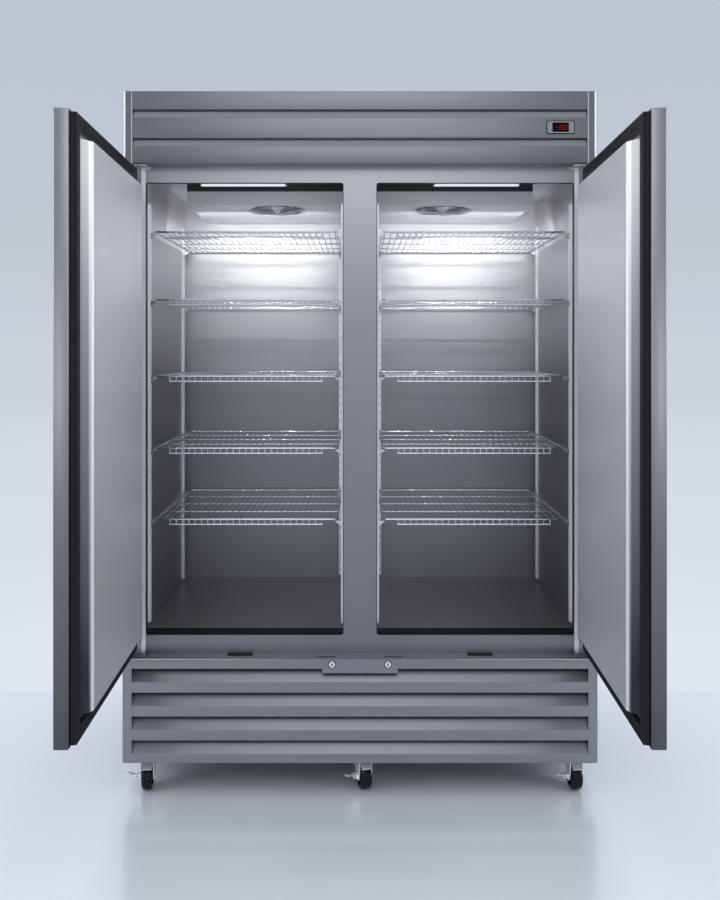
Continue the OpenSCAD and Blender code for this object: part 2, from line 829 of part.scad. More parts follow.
module door_gasket() {
    inset = gasket_inset + (gasket_w - gasket_foot_w) / 2;
    ring_on_door(inset, gasket_foot_w, shell_t + liner_t, shell_t + liner_t + gasket_foot_h);
    ring_on_door(gasket_inset, gasket_w, shell_t + liner_t + gasket_foot_h, gasket_top);
}

module door_skin_left() color("#7c7e81") hung() door_skin();
module door_foam_left() color("#e8dcae") hung() door_foam();
module door_liner_left() color("#c9cbcd") hung() door_liner();
module door_gasket_left() color("#17181a") hung() door_gasket();
module door_skin_right() color("#7c7e81") mirror([1, 0, 0]) hung() door_skin();
module door_foam_right() color("#e8dcae") mirror([1, 0, 0]) hung() door_foam();
module door_liner_right() color("#c9cbcd") mirror([1, 0, 0]) hung() door_liner();
module door_gasket_right() color("#17181a") mirror([1, 0, 0]) hung() door_gasket();

// Shelves and what carries them

standard_l = evap_z - 20 - standard_z0;
slot_cut_w = 4;
slot_cut_h = 12;
channel_t = 1.2;

// One slotted channel: its web faces +Y, its back is open and lies on y = 0
module standard() {
    slots = floor((standard_l - 20) / standard_pitch);
    translate([0, 0, standard_z0]) {
        facing(standard_d - channel_t, channel_t) difference() {
            translate([-standard_w / 2, 0]) square([standard_w, standard_l]);
            for (n = [0 : slots - 1])
                translate([-slot_cut_w / 2, slot_cut_h + n * standard_pitch])
                    square([slot_cut_w, slot_cut_h]);
        }
        for (x = [-standard_w / 2, standard_w / 2 - channel_t])
            box_of([x, 0, 0], [x + channel_t, standard_d, standard_l]);
    }
}

// The fourth standard is on the back wall, this far clear of the post's side
rear_clear = 12;

// The four standards of the left bay: each entry is x, y and the turn that faces it inwards
standards = [
    [-cavity_x, standard_front + standard_w / 2, -90],
    [-cavity_x, standard_rear, -90],
    [-mullion_w / 2, standard_front, 90],
    [-mullion_w / 2 - standard_d - rear_clear, cavity_back, 180]
];

module at_standards() for (s = standards) translate([s[0], s[1], 0]) rotate([0, 0, s[2]]) children();

module shelf_standards() color("#b4b6b9") at_front() both_sides() at_standards() standard();

clip_tip_h = 2;

// A wedge on the standard, under the shelf's corner
module clip() translate([-clip_w / 2, standard_d, -shelf_rail_t]) along_x(0, clip_w)
    polygon([[0, 0], [clip_l, 0], [clip_l, -clip_tip_h], [0, -clip_h]]);

module shelf_clips() color("#c4c6c9") at_front() both_sides() at_standards()
    for (z = shelf_z) translate([0, 0, z]) clip();

// Meshes at each end that the front edge stops short of
edge_skip = 2;

// A shelf: a grid of wires in a frame, bars across below, and a ladder along the front edge
module shelf() {
    wires = floor((shelf_w - 2 * shelf_rail_t) / wire_pitch);
    spare = (shelf_w - wires * wire_pitch + wire_t) / 2;
    translate([0, 0, -wire_t]) linear_extrude(wire_t) difference() {
        square([shelf_w, shelf_d]);
        for (n = [0 : wires - 1])
            translate([spare + n * wire_pitch, shelf_rail_t])
                square([wire_pitch - wire_t, shelf_d - 2 * shelf_rail_t]);
    }
    translate([0, 0, -shelf_rail_t]) linear_extrude(shelf_rail_t) difference() {
        square([shelf_w, shelf_d]);
        translate([shelf_rail_t, shelf_rail_t])
            square([shelf_w - 2 * shelf_rail_t, shelf_d - 2 * shelf_rail_t]);
    }
    for (n = [1 : 3])
        translate([0, n * shelf_d / 4, -shelf_rail_t]) cube([shelf_w, shelf_rail_t, shelf_rail_t]);
    rungs = wires - 2 * edge_skip;
    facing(0, wire_t) difference() {
        translate([spare + edge_skip * wire_pitch - wire_t, -shelf_edge_h])
            square([rungs * wire_pitch + wire_t, shelf_edge_h]);
        for (n = [0 : rungs - 1])
            translate([spare + (n + edge_skip) * wire_pitch, -shelf_edge_h + wire_t])
                square([wire_pitch - wire_t, shelf_edge_h - wire_t - shelf_rail_t]);
    }
}

module wire_shelves() color("#d0d2d4") at_front() both_sides()
    for (z = shelf_z) translate([-shelf_x1, shelf_y0, z]) shelf();

// Light strips under the ceiling

light_l = 257;
light_in = 155;
light_x1 = opening_x - light_in;
light_x0 = light_x1 - light_l;
light_z = opening_top - 4;
light_y = frame_back + breaker_d + 2;
light_d = 22;
light_h = 16;
hanger_r = 5;
hanger_in = 30;

module light_strips() color("#f4f4ee") at_front() both_sides() {
    box_of([-light_x1, light_y, light_z], [-light_x0, light_y + light_d, light_z + light_h]);
    for (x = [-light_x1 + hanger_in, -light_x0 - hanger_in])
        translate([x, light_y + light_d / 2, light_z + light_h / 2])
            cylinder(ceiling_z - light_z - light_h / 2, hanger_r, hanger_r);
}

// Evaporator under the ceiling, with two fans that blow down

guard_t = 2;
guard_wire = 3;
guard_hub_r = 10;
throat_r = evap_fan_r + 6;
louvre_count = 6;
louvre_in = 147;
louvre_w = evap_w - louvre_in;
louvre_h = 8;
louvre_pitch = 22;
louvre_x = 60;
louvre_back = 150;

module fan_guard(r) {
    for (k = [1 : 3]) difference() {
        circle((r * k / 2 + guard_wire) / 2);
        circle((r * k / 2 - guard_wire) / 2);
    }
    for (a = [0 : 90 : 270]) rotate(a) translate([-guard_wire / 2, 0]) square([guard_wire, r + guard_wire]);
    circle(guard_hub_r);
}

module evaporator_cover() color("#c7c9cc") at_front() {
    difference() {
        box_of([-evap_w, evap_y0, evap_z], [evap_w, evap_y1, ceiling_z]);
        box_of(
            [-evap_w + sheet_t, evap_y0 + sheet_t, evap_z + sheet_t],
            [evap_w - sheet_t, evap_y1 - sheet_t, ceiling_z + cut]
        );
        both_sides() translate([-evap_fan_x, evap_y0 + evap_fan_y, evap_z - cut])
            cylinder(2 * cut, throat_r, throat_r);
        both_sides() for (n = [0 : louvre_count - 1])
            translate([louvre_x, evap_y1 - louvre_back + n * louvre_pitch, evap_z - cut])
                cube([louvre_w, louvre_h, 2 * cut]);
    }
    both_sides() translate([-evap_fan_x, evap_y0 + evap_fan_y, evap_z])
        linear_extrude(guard_t) fan_guard(throat_r);
}

coil_in = 67;
coil_x = evap_w - coil_in;
coil_fins = 21;
coil_y0 = evap_y0 + 210;
coil_d = 190;
coil_z = evap_z + 8;
coil_pitch = [60, 40];
fin_t = 1;

module evaporator_coil() color("#b9bcc0") at_front() {
    for (n = [0 : coil_fins - 1])
        translate([-coil_x + n * 2 * coil_x / (coil_fins - 1) - fin_t / 2, coil_y0, coil_z])
            cube([fin_t, coil_d, ceiling_z - coil_z]);
    for (row = [-1, 1], col = [-1 : 1]) translate([
        0, coil_y0 + coil_d / 2 + col * coil_pitch[0], (coil_z + ceiling_z) / 2 + row * coil_pitch[1] / 2
    ]) rod_x(-coil_x, 2 * coil_x, line_r);
}

// Blades round a hub, with the shaft that runs in the motor; the axis is +Z
blade_count = 5;
blade_pitch = 24;
blade_t = 1.5;
blade_root = 4;
blade_share = 0.56;
motor_gap = 4;
rotor_l = 20;
cond_rotor_l = 26;
shaft_l = 18;
evap_hub_r = 18;
cond_hub_r = 26;

module fan_rotor(r, hub_r, hub_l) {
    blade_w = r * blade_share;
    cylinder(hub_l, hub_r, hub_r);
    cylinder(hub_l + shaft_l, fan_shaft_r, fan_shaft_r);
    for (n = [0 : blade_count - 1]) rotate([0, 0, n * 360 / blade_count])
        intersection() {
            translate([hub_r - blade_root, 0, hub_l / 2]) rotate([blade_pitch, 0, 0])
                translate([0, -blade_w / 2, -blade_t / 2]) cube([r, blade_w, blade_t]);
            cylinder(3 * hub_l, r, r, center = true);
        }
}

module fan_motor(r, length) difference() {
    cylinder(length, r, r);
    translate([0, 0, -cut]) cylinder(shaft_l - motor_gap + cut + 1, fan_shaft_r + fit, fan_shaft_r + fit);
}

module at_evap_fan() translate([-evap_fan_x, evap_y0 + evap_fan_y, evap_fan_z - rotor_l / 2]) children();
module at_cond_fan() translate([cond_x, cond_fan_y, cond_fan_z]) rotate([-90, 0, 0]) children();

module evaporator_fan() at_front() at_evap_fan() fan_rotor(evap_fan_r, evap_hub_r, rotor_l);
module evaporator_fan_left() color("#2a2b2e") evaporator_fan();
module evaporator_fan_right() color("#2a2b2e") mirror([1, 0, 0]) evaporator_fan();
module condenser_fan() color("#2a2b2e") at_front() at_cond_fan()
    fan_rotor(cond_fan_r, cond_hub_r, cond_rotor_l);

evap_motor_r = 32;
evap_motor_l = 34;
motor_hanger_r = 10;
cond_motor_r = 38;
cond_motor_l = 60;
motor_foot_w = 30;
motor_foot_l = 40;
motor_y = cond_fan_y + cond_rotor_l + motor_gap;

module fan_motors() color("#54565a") at_front() {
    both_sides() at_evap_fan() translate([0, 0, rotor_l + motor_gap]) {
        fan_motor(evap_motor_r, evap_motor_l);
        translate([0, 0, evap_motor_l - 4]) cylinder(
            ceiling_z - evap_fan_z - rotor_l / 2 - motor_gap - evap_motor_l + 4,
            motor_hanger_r, motor_hanger_r
        );
    }
    at_cond_fan() translate([0, 0, cond_rotor_l + motor_gap]) fan_motor(cond_motor_r, cond_motor_l);
    translate([cond_x, motor_y + cond_motor_l / 2, deck_z]) box_of(
        [-motor_foot_w / 2, -motor_foot_l / 2, 0],
        [motor_foot_w / 2, motor_foot_l / 2, cond_fan_z - deck_z - cond_motor_r + 6]
    );
}

// Machinery on the base

cond_fins = 21;
cond_pitch = [22, 48];
shroud_t = 1.5;

// Upright fins on cross tubes, with a flat shroud behind that opens at the fan
module condenser() color("#7d7f83") at_front() translate([cond_x, cond_y, deck_z]) {
    for (n = [0 : cond_fins - 1])
        translate([-cond_w / 2 + n * cond_w / (cond_fins - 1) - fin_t / 2, 0, 0])
            cube([fin_t, cond_d, cond_h]);
    for (row = [-2 : 2], col = [-1, 1])
        translate([0, cond_d / 2 + col * cond_pitch[0] / 2, cond_h / 2 + row * cond_pitch[1]])
            rod_x(-cond_w / 2, cond_w, line_r);
    difference() {
        box_of([-cond_w / 2, cond_d, 0], [cond_w / 2, cond_d + shroud_t, cond_h]);
        translate([0, 0, cond_fan_z - deck_z]) rod_y(0, cond_d + 2 * cut, cond_fan_r + cut);
    }
}

comp_foot_h = 22;
comp_foot_r = 12;
comp_foot_in = 18;
comp_plate_w = 190;
comp_plate_t = 5;
comp_box = [26, 60, 64];
comp_box_z = 62;

// Welded shell with a domed top, on a plate with four feet and its terminal box on one side
module compressor() color("#1f2022") at_front() translate([comp_x, comp_y, deck_z]) {
    translate([0, 0, comp_foot_h]) rotate_extrude() {
        square([comp_r, comp_h - comp_r]);
        translate([0, comp_h - comp_r]) intersection() {
            circle(comp_r);
            square(comp_r);
        }
    }
    translate([-comp_plate_w / 2, -comp_plate_w / 2, comp_foot_h - comp_plate_t + 1])
        cube([comp_plate_w, comp_plate_w, comp_plate_t]);
    for (x = [-1, 1], y = [-1, 1])
        translate([x * (comp_plate_w / 2 - comp_foot_in), y * (comp_plate_w / 2 - comp_foot_in), 0])
            cylinder(comp_foot_h - 2, comp_foot_r, comp_foot_r);
    translate([0, -comp_box[1] / 2, comp_box_z]) cube([comp_r + comp_box[0], comp_box[1], comp_box[2]]);
}

// A pipe through a list of corners; a ball closes each corner
module pipe(points, r) for (n = [0 : len(points) - 1]) {
    translate(points[n]) sphere(r);
    if (n > 0) {
        run = points[n] - points[n - 1];
        length = norm(run);
        translate(points[n - 1])
            rotate([0, acos(run[2] / length), atan2(run[1], run[0])]) cylinder(length, r, r);
    }
}

line_y = cabinet_d - sheet_t - 10;
line_in = evap_y1 + line_r + gap;
line_low_z = deck_z + 60;
line_high_z = deck_z + 180;
line_cross_y = line_y - 60;

// Each line starts on its unit, runs back, crosses over, rises in the channel and turns in
module line_from(start, cross_y, x) pipe([
    start, [start[0], cross_y, start[2]], [x, cross_y, start[2]],
    [x, line_y, start[2]], [x, line_y, riser_z], [x, line_in, riser_z]
], line_r);

module refrigerant_lines() color("#b87333") at_front() {
    line_from([comp_x, comp_y + comp_r + line_r, line_low_z], line_cross_y, riser_x - lines_apart / 2);
    line_from(
        [cond_x + cond_w / 2 - 20, cond_y + cond_d + shroud_t + line_r, line_high_z],
        line_cross_y + 40, riser_x + lines_apart / 2
    );
}

tray_in = 166;
tray_x = tray_in - half_w;
tray_w = 360;
tray_y = 480;
tray_d = 240;
tray_h = 60;
tray_t = 2;

module condensate_tray() color("#2d2f31") at_front() translate([tray_x, tray_y, deck_z]) difference() {
    cube([tray_w, tray_d, tray_h]);
    translate([tray_t, tray_t, tray_t]) cube([tray_w - 2 * tray_t, tray_d - 2 * tray_t, tray_h]);
}

elec_box = [160, 140, 130];
elec_in = 216;
elec_x = half_w - elec_in;
elec_y = 200;

module electrical_box() color("#9a9c9f") at_front() translate([elec_x, elec_y, deck_z]) cube(elec_box);

socket_w = 30;
socket_h = 24;
socket_d = 22;
flange_t = 2.2;
flange_out = 8;
blade_l = 15;
blade_size = [2, 6];
blades = [[0, 5], [-7, -4], [7, -4]];

// Recessed mains inlet with three blades, held by a flange inside the back panel
module power_inlet() color("#1a1b1d") at_front() translate([inlet_x, cabinet_d, inlet_z]) {
    difference() {
        union() {
            box_of([-inlet_w / 2, -inlet_d, -inlet_h / 2], [inlet_w / 2, 0, inlet_h / 2]);
            box_of(
                [-inlet_w / 2 - flange_out, -sheet_t - flange_t, -inlet_h / 2 - flange_out],
                [inlet_w / 2 + flange_out, -sheet_t, inlet_h / 2 + flange_out]
            );
        }
        box_of([-socket_w / 2, -socket_d, -socket_h / 2], [socket_w / 2, cut, socket_h / 2]);
    }
    for (p = blades) translate([p[0] - blade_size[0] / 2, -socket_d, p[1] - blade_size[1] / 2])
        cube([blade_size[0], blade_l, blade_size[1]]);
}

// Casters

// Where a caster stands and how far it is swivelled: 0 to 2 are the front ones, left to right
function caster_at(n) = [
    (n % 3 - 1) * (half_w - caster_in),
    n < 3 ? caster_front : cabinet_d - caster_rear,
    n < 3 ? front_yaw[n] : rear_yaw[n - 3]
];

plate_t = 4;
plate_r = 6;
race_r = 26;
race_h = 5;
race_z = base_z - plate_t - race_h;
crown_t = 4;
crown_top = race_z - gap;
crown_z = crown_top - crown_t;
leg_x = 17.3;
leg_t = 2.5;
hub_w = 2 * leg_x - 1;
king_head_h = 4;
king_head_out = 3;
leg_y0 = -24;
leg_y1 = 16;
boss_r = 11;
nut_t = 4;
nut_out = 3;
ear_t = 2;
ear_in = 7;
ear_out = 4.5;
ear_low = 6;
ear_high = 5;
brake_x = -leg_x - leg_t - 11;
brake_z = wheel_r + 4;
brake_pin_r = 2;

module each_caster() for (n = [0 : 5]) translate([caster_at(n)[0], caster_at(n)[1], 0]) children();
module turned(n) at_front() translate([caster_at(n)[0], caster_at(n)[1], 0])
    rotate([0, 0, caster_at(n)[2]]) children();

module at_bolts() for (x = [-1, 1], y = [-1, 1]) translate([x * bolt_x / 2, y * bolt_y / 2, 0]) children();
module plate_holes(z, h) at_bolts() translate([0, 0, z]) cylinder(h, bolt_r + loose, bolt_r + loose);

module caster_plates() color("#b5b7ba") at_front() each_caster() {
    difference() {
        translate([-plate_w / 2, -plate_d / 2, base_z - plate_t])
            linear_extrude(plate_t) round_rect(plate_w, plate_d, plate_r);
        plate_holes(base_z - plate_t - cut, plate_t + 2 * cut);
    }
    translate([0, 0, race_z]) cylinder(race_h + 1, race_r, race_r);
    translate([0, 0, crown_z - gap - king_head_h]) {
        cylinder(race_z - crown_z + gap + king_head_h + 1, king_r, king_r);
        cylinder(king_head_h, king_r + king_head_out, king_r + king_head_out);
    }
}

// Bent sheet that comes down in front of the wheel, drawn from the crown's front
apron_drop = 12;
apron_t = 2;
module apron_profile() translate([-caster_trail, crown_z]) polygon([
    [caster_trail - 20, crown_t - 1], [-20, crown_t - 5], [-33, -apron_drop], [-31, -apron_drop - 1],
    [-19, crown_t - 5 - apron_t], [caster_trail - 20, 0]
]);

// Fork with its crown, apron, axle bolt and, on a braked caster, the ears of the brake
module caster_yoke(n) color("#c2c4c7") turned(n) {
    difference() {
        union() {
            translate([0, 0, crown_z]) cylinder(crown_t, race_r - 2, race_r - 2);
            box_of([-leg_x - leg_t, leg_y0, crown_z], [leg_x + leg_t, leg_y1, crown_z + crown_t - 1]);
        }
        translate([0, 0, crown_z - cut]) cylinder(crown_t + 2 * cut, king_r + fit, king_r + fit);
    }
    for (x = [-leg_x - leg_t, leg_x]) along_x(x, leg_t) {
        polygon([
            [leg_y1, crown_z + crown_t - 1], [leg_y0, crown_z + crown_t - 1],
            [-caster_trail - boss_r, wheel_r], [-caster_trail + boss_r, wheel_r]
        ]);
        translate([-caster_trail, wheel_r]) circle(boss_r);
    }
    along_x(-leg_x - leg_t, 2 * (leg_x + leg_t)) apron_profile();
    translate([0, -caster_trail, wheel_r]) {
        rod_x(-leg_x - leg_t - nut_t, 2 * (leg_x + leg_t + nut_t), axle_r);
        for (x = [-leg_x - leg_t - nut_t, leg_x + leg_t]) rod_x(x, nut_t, axle_r + nut_out);
    }
    if (n < 3) {
        for (y = [-ear_in - ear_t, ear_in]) translate([0, -caster_trail + y, 0])
            box_of([brake_x - ear_out, 0, brake_z - ear_low], [-leg_x - leg_t, ear_t, brake_z + ear_high]);
        translate([brake_x, -caster_trail, brake_z])
            rod_y(-ear_in - ear_t, 2 * (ear_in + ear_t), brake_pin_r);
    }
}

tread_r = 7;
hub_out = 6;
dish_w = 12;
dish_d = 5;

// Half section of a wheel: a tread with round shoulders, dished between rim and hub
module wheel_profile() difference() {
    union() {
        translate([0, -wheel_w / 2 + tread_r]) square([wheel_r, wheel_w - 2 * tread_r]);
        translate([0, -wheel_w / 2]) square([wheel_r - tread_r, wheel_w]);
        for (y = [-wheel_w / 2 + tread_r, wheel_w / 2 - tread_r])
            translate([wheel_r - tread_r, y]) circle(tread_r);
        translate([0, -hub_w / 2]) square([axle_r + hub_out, hub_w]);
    }
    translate([-1, -hub_w]) square([1 + axle_r + fit, 2 * hub_w]);
    for (y = [-wheel_w, wheel_w / 2 - dish_d])
        translate([axle_r + hub_out, y]) square([dish_w, wheel_w / 2 + dish_d]);
}

module caster_wheel(n) color("#1a1b1d") turned(n) translate([0, -caster_trail, wheel_r])
    rotate([0, 90, 0]) rotate_extrude() wheel_profile();

knuckle_r = 4;
knuckle_w = 2 * ear_in - 2;
lever_rise = 12;
lever_t = 2;
pad_r = 9;

// Foot lever beside the wheel, hinged along the wheel's plane
module brake_lever(n) color("#cdcfd1") turned(n) translate([brake_x, -caster_trail, brake_z]) {
    difference() {
        union() {
            rod_y(-knuckle_w / 2, knuckle_w, knuckle_r);
            rotate([0, lever_rise, 0]) box_of(
                [-brake_l, -knuckle_w / 2 + 1, -lever_t / 2],
                [0, knuckle_w / 2 - 1, lever_t / 2]
            );
        }
        rod_y(-knuckle_w, 2 * knuckle_w, brake_pin_r + fit);
    }
    rotate([0, lever_rise, 0]) translate([pad_r - 2 - brake_l, 0, -lever_t / 2])
        cylinder(lever_t, pad_r, pad_r);
}

head_out = 2.5;
bolt_head_h = 4;
bolt_nut_h = 5;
screw_head_h = 2;
screw_l = 7;

// Caster bolts with heads and nuts, and the screws under the header
module screws() color("#c6c8ca") at_front() {
    each_caster() at_bolts() {
        translate([0, 0, base_z - plate_t - bolt_head_h])
            cylinder(bolt_head_h, bolt_r + head_out, bolt_r + head_out);
        translate([0, 0, base_z - plate_t - 1])
            cylinder(plate_t + deck_t + bolt_nut_h + 3, bolt_r, bolt_r);
        translate([0, 0, deck_z]) cylinder(bolt_nut_h, bolt_r + head_out, bolt_r + head_out);
    }
    for (x = header_screw_x) translate([x, header_screw_y, header_z]) {
        translate([0, 0, -screw_head_h]) cylinder(screw_head_h, screw_r + head_out, screw_r + head_out);
        translate([0, 0, -1]) cylinder(screw_l + 1, screw_r, screw_r);
    }
}

side_panel_left();
side_panel_right();
back_panel();
top_panel();
base_frame();
insulation();
inner_liner();
face_frame();
breaker_strips();
header_panel();
controller_bezel();
controller_display();
key_strip_left();
key_strip_right();
grille_panel();
lock_left();
lock_right();
hinge_brackets();
hinge_bushes();
door_skin_left();
door_foam_left();
door_liner_left();
door_gasket_left();
door_skin_right();
door_foam_right();
door_liner_right();
door_gasket_right();
shelf_standards();
shelf_clips();
wire_shelves();
light_strips();
evaporator_cover();
evaporator_coil();
evaporator_fan_left();
evaporator_fan_right();
fan_motors();
condenser();
condenser_fan();
compressor();
refrigerant_lines();
condensate_tray();
electrical_box();
power_inlet();
caster_plates();
screws();
caster_yoke(0);  // caster_yoke_front_left
caster_yoke(1);  // caster_yoke_front_middle
caster_yoke(2);  // caster_yoke_front_right
caster_yoke(3);  // caster_yoke_rear_left
caster_yoke(4);  // caster_yoke_rear_middle
caster_yoke(5);  // caster_yoke_rear_right
caster_wheel(0);  // caster_wheel_front_left
caster_wheel(1);  // caster_wheel_front_middle
caster_wheel(2);  // caster_wheel_front_right
caster_wheel(3);  // caster_wheel_rear_left
caster_wheel(4);  // caster_wheel_rear_middle
caster_wheel(5);  // caster_wheel_rear_right
brake_lever(0);  // brake_lever_left
brake_lever(1);  // brake_lever_middle
brake_lever(2);  // brake_lever_right
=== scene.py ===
import json
from math import acos, cos, hypot, pi, radians, sin, tan

import bmesh
import bpy
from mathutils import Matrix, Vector


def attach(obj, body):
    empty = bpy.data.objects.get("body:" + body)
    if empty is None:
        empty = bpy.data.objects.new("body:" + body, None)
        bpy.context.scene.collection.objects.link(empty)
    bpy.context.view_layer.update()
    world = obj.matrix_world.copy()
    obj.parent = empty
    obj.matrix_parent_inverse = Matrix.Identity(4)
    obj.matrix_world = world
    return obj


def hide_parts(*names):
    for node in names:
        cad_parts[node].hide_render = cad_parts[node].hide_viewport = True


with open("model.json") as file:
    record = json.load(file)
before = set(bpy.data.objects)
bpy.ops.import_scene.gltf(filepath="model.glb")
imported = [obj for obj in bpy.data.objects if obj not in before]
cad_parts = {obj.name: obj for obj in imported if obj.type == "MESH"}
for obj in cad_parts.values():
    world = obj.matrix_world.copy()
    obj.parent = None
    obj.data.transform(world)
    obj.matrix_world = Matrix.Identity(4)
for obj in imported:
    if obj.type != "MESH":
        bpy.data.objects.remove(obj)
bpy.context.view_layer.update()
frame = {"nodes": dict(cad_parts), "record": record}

# Sizes of the part in millimetres, as the source names them
CABINET_W, CABINET_D, CABINET_H = 1372.0, 788.0, 1941.0
HEADER_H, GRILLE_H, RECESS_D, SHEET_T = 210.0, 301.0, 50.0, 1.2
POST_W, CASTER_H, GAP = 30.0, 100.0, 0.3
DOOR_OPEN, HINGE_IN, HINGE_BACK = 88.0, 8.0, 20.0
SHELL_T, SHELL_R, SHELL_LIP = 34.0, 3.0, 12.0
PLUG_OUT, PLUG_FOOT, PLUG_INSET = 74.0, 54.0, 63.0
GASKET_INSET, GASKET_W, GASKET_FOOT_W, GASKET_FOOT_H, GASKET_GAP = 7.0, 33.0, 24.0, 5.0, 0.3
PULL_W, PULL_H, PULL_D, PULL_INSET, PULL_Z = 34.0, 230.0, 24.0, 34.0, 700.0
BUSH_R, BUSH_L = 6.2, 17.0
LOCK_X, LOCK_DROP, LOCK_R = 80.9, 15.4, 9.0
CAM_L, CAM_W, CAM_Y, CAM_T = 40.0, 12.0, 20.0, 3.0

SIDES = ((-1, "left"), (1, "right"))
HALF_W = CABINET_W / 2
ROOF_Z = CASTER_H + CABINET_H
SILL_Z = CASTER_H + GRILLE_H
HEADER_Z = ROOF_Z - HEADER_H
INSIDE_W = HALF_W - SHEET_T
DOOR_W = HALF_W - 1.0 - 2.0
DOOR_H = HEADER_Z - SILL_Z - 17.0
DOOR_Z = SILL_Z + 13.0
PIVOT_X = HALF_W - 1.0 - HINGE_IN
LOCK_Z = SILL_Z - LOCK_DROP
TURN_S, TURN_C = sin(radians(DOOR_OPEN)), cos(radians(DOOR_OPEN))
REACH = (DOOR_W - HINGE_IN - SHELL_R) * TURN_S - (SHELL_R - HINGE_BACK) * TURN_C + SHELL_R - HINGE_BACK
FRONT_Y = (REACH - CABINET_D) / 2


# Placing: every piece is drawn in millimetres behind the header's face, or in a door's own place

def at_front(p):
    return (p[0] * 0.001, (p[1] + FRONT_Y) * 0.001, p[2] * 0.001)


def on_door(side):
    def place(p):
        u, v = p[0] - HINGE_IN, p[1] - HINGE_BACK
        x = -PIVOT_X + u * TURN_C + v * TURN_S
        y = HINGE_BACK - u * TURN_S + v * TURN_C
        return at_front((-side * x, y, DOOR_Z + p[2]))
    return place


class Solid:
    """Collects vertices and faces of one piece, in millimetres."""

    def __init__(self):
        self.v, self.f = [], []

    def add(self, verts, faces, flip=False):
        n = len(self.v)
        self.v += [tuple(p) for p in verts]
        self.f += [[n + i for i in (reversed(f) if flip else f)] for f in faces]

    def box(self, lo, hi):
        (a, b, c), (d, e, f) = lo, hi
        self.add(
            [(a, b, c), (d, b, c), (d, e, c), (a, e, c), (a, b, f), (d, b, f), (d, e, f), (a, e, f)],
            [(3, 2, 1, 0), (4, 5, 6, 7), (0, 1, 5, 4), (1, 2, 6, 5), (2, 3, 7, 6), (3, 0, 4, 7)],
        )

    def sweep(self, outline, place0, place1):
        """A closed outline of 2-D points, between two placings, with both ends capped."""
        n = len(outline)
        verts = [place0(p) for p in outline] + [place1(p) for p in outline]
        faces = [(i, (i + 1) % n, n + (i + 1) % n, n + i) for i in range(n)]
        faces += [tuple(reversed(range(n))), tuple(range(n, 2 * n))]
        self.add(verts, faces)

    def along_x(self, outline, x0, x1):
        self.sweep(outline, lambda p: (x0, p[0], p[1]), lambda p: (x1, p[0], p[1]))

    def facing(self, outline, y0, y1):
        self.sweep(outline, lambda p: (p[0], y1, p[1]), lambda p: (p[0], y0, p[1]))

    def upright(self, outline, z0, z1):
        self.sweep(outline, lambda p: (p[0], p[1], z0), lambda p: (p[0], p[1], z1))

    def lathe(self, outline, centre, axis, n=48):
        """A closed outline of (distance along the axis, radius), turned round the axis."""
        z = Vector(axis).normalized()
        x = z.orthogonal().normalized()
        y = z.cross(x)
        m, verts, faces = len(outline), [], []
        for k in range(n):
            a = 2 * pi * k / n
            out = x * cos(a) + y * sin(a)
            verts += [Vector(centre) + z * p[0] + out * p[1] for p in outline]
        for k in range(n):
            for i in range(m):
                j = (i + 1) % m
                if outline[i][1] > 0 or outline[j][1] > 0:
                    faces.append((k * m + i, k * m + j, (k + 1) % n * m + j, (k + 1) % n * m + i))
        self.add(verts, faces)

    def tube(self, points, r, n=8, closed=False):
        pts = [Vector(p) for p in points]
        count, verts, faces = len(pts), [], []
        across = None
        for i, p in enumerate(pts):
            before = pts[i - 1] if i or closed else p
            after = pts[(i + 1) % count] if i < count - 1 or closed else p
            way = (after - before).normalized()
            if across is None:
                across = way.orthogonal().normalized()
            across = (across - way * across.dot(way)).normalized()
            up = way.cross(across)
            verts += [p + (across * cos(2 * pi * k / n) + up * sin(2 * pi * k / n)) * r for k in range(n)]
        for i in range(count if closed else count - 1):
            a, b = i * n, (i + 1) % count * n
            faces += [(a + k, a + (k + 1) % n, b + (k + 1) % n, b + k) for k in range(n)]
        if not closed:
            faces += [tuple(reversed(range(n))), tuple(range((count - 1) * n, count * n))]
        self.add(verts, faces)

    def skin(self, loops, first=False, last=False, closed=False):
        """Joins equal loops of points in turn, and caps the first and the last where asked."""
        n, m = len(loops[0]), len(loops)
        faces = [tuple(reversed(range(n)))] if first else []
        if last:
            faces.append(tuple((m - 1) * n + i for i in range(n)))
        for k in range(m if closed else m - 1):
            after = (k + 1) % m * n
            faces += [(k * n + i, k * n + (i + 1) % n, after + (i + 1) % n, after + i) for i in range(n)]
        self.add([p for loop in loops for p in loop], faces)

    def plate(self, xs, ys, holes, place):
        """A plate of cells with rectangular holes; place turns x, y and 0 or 1, for a face, into a point."""
        xs, ys = sorted(set(xs)), sorted(set(ys))

        def solid(i, j):
            if not (0 <= i < len(xs) - 1 and 0 <= j < len(ys) - 1):
                return False
            x, y = (xs[i] + xs[i + 1]) / 2, (ys[j] + ys[j + 1]) / 2
            return not any(a < x < c and b < y < d for a, b, c, d in holes)

        index, verts, faces = {}, [], []

        def at(i, j, k):
            if (i, j, k) not in index:
                index[i, j, k] = len(verts)
                verts.append(place(xs[i], ys[j], k))
            return index[i, j, k]

        for i in range(len(xs) - 1):
            for j in range(len(ys) - 1):
                if not solid(i, j):
                    continue
                faces.append((at(i, j, 1), at(i + 1, j, 1), at(i + 1, j + 1, 1), at(i, j + 1, 1)))
                faces.append((at(i, j, 0), at(i, j + 1, 0), at(i + 1, j + 1, 0), at(i + 1, j, 0)))
                for di, dj, p, q in ((-1, 0, (i, j + 1), (i, j)), (1, 0, (i + 1, j), (i + 1, j + 1)),
                                     (0, -1, (i, j), (i + 1, j)), (0, 1, (i + 1, j + 1), (i, j + 1))):
                    if not solid(i + di, j + dj):
                        faces.append((at(*p, 0), at(*q, 0), at(*q, 1), at(*p, 1)))
        self.add(verts, faces)


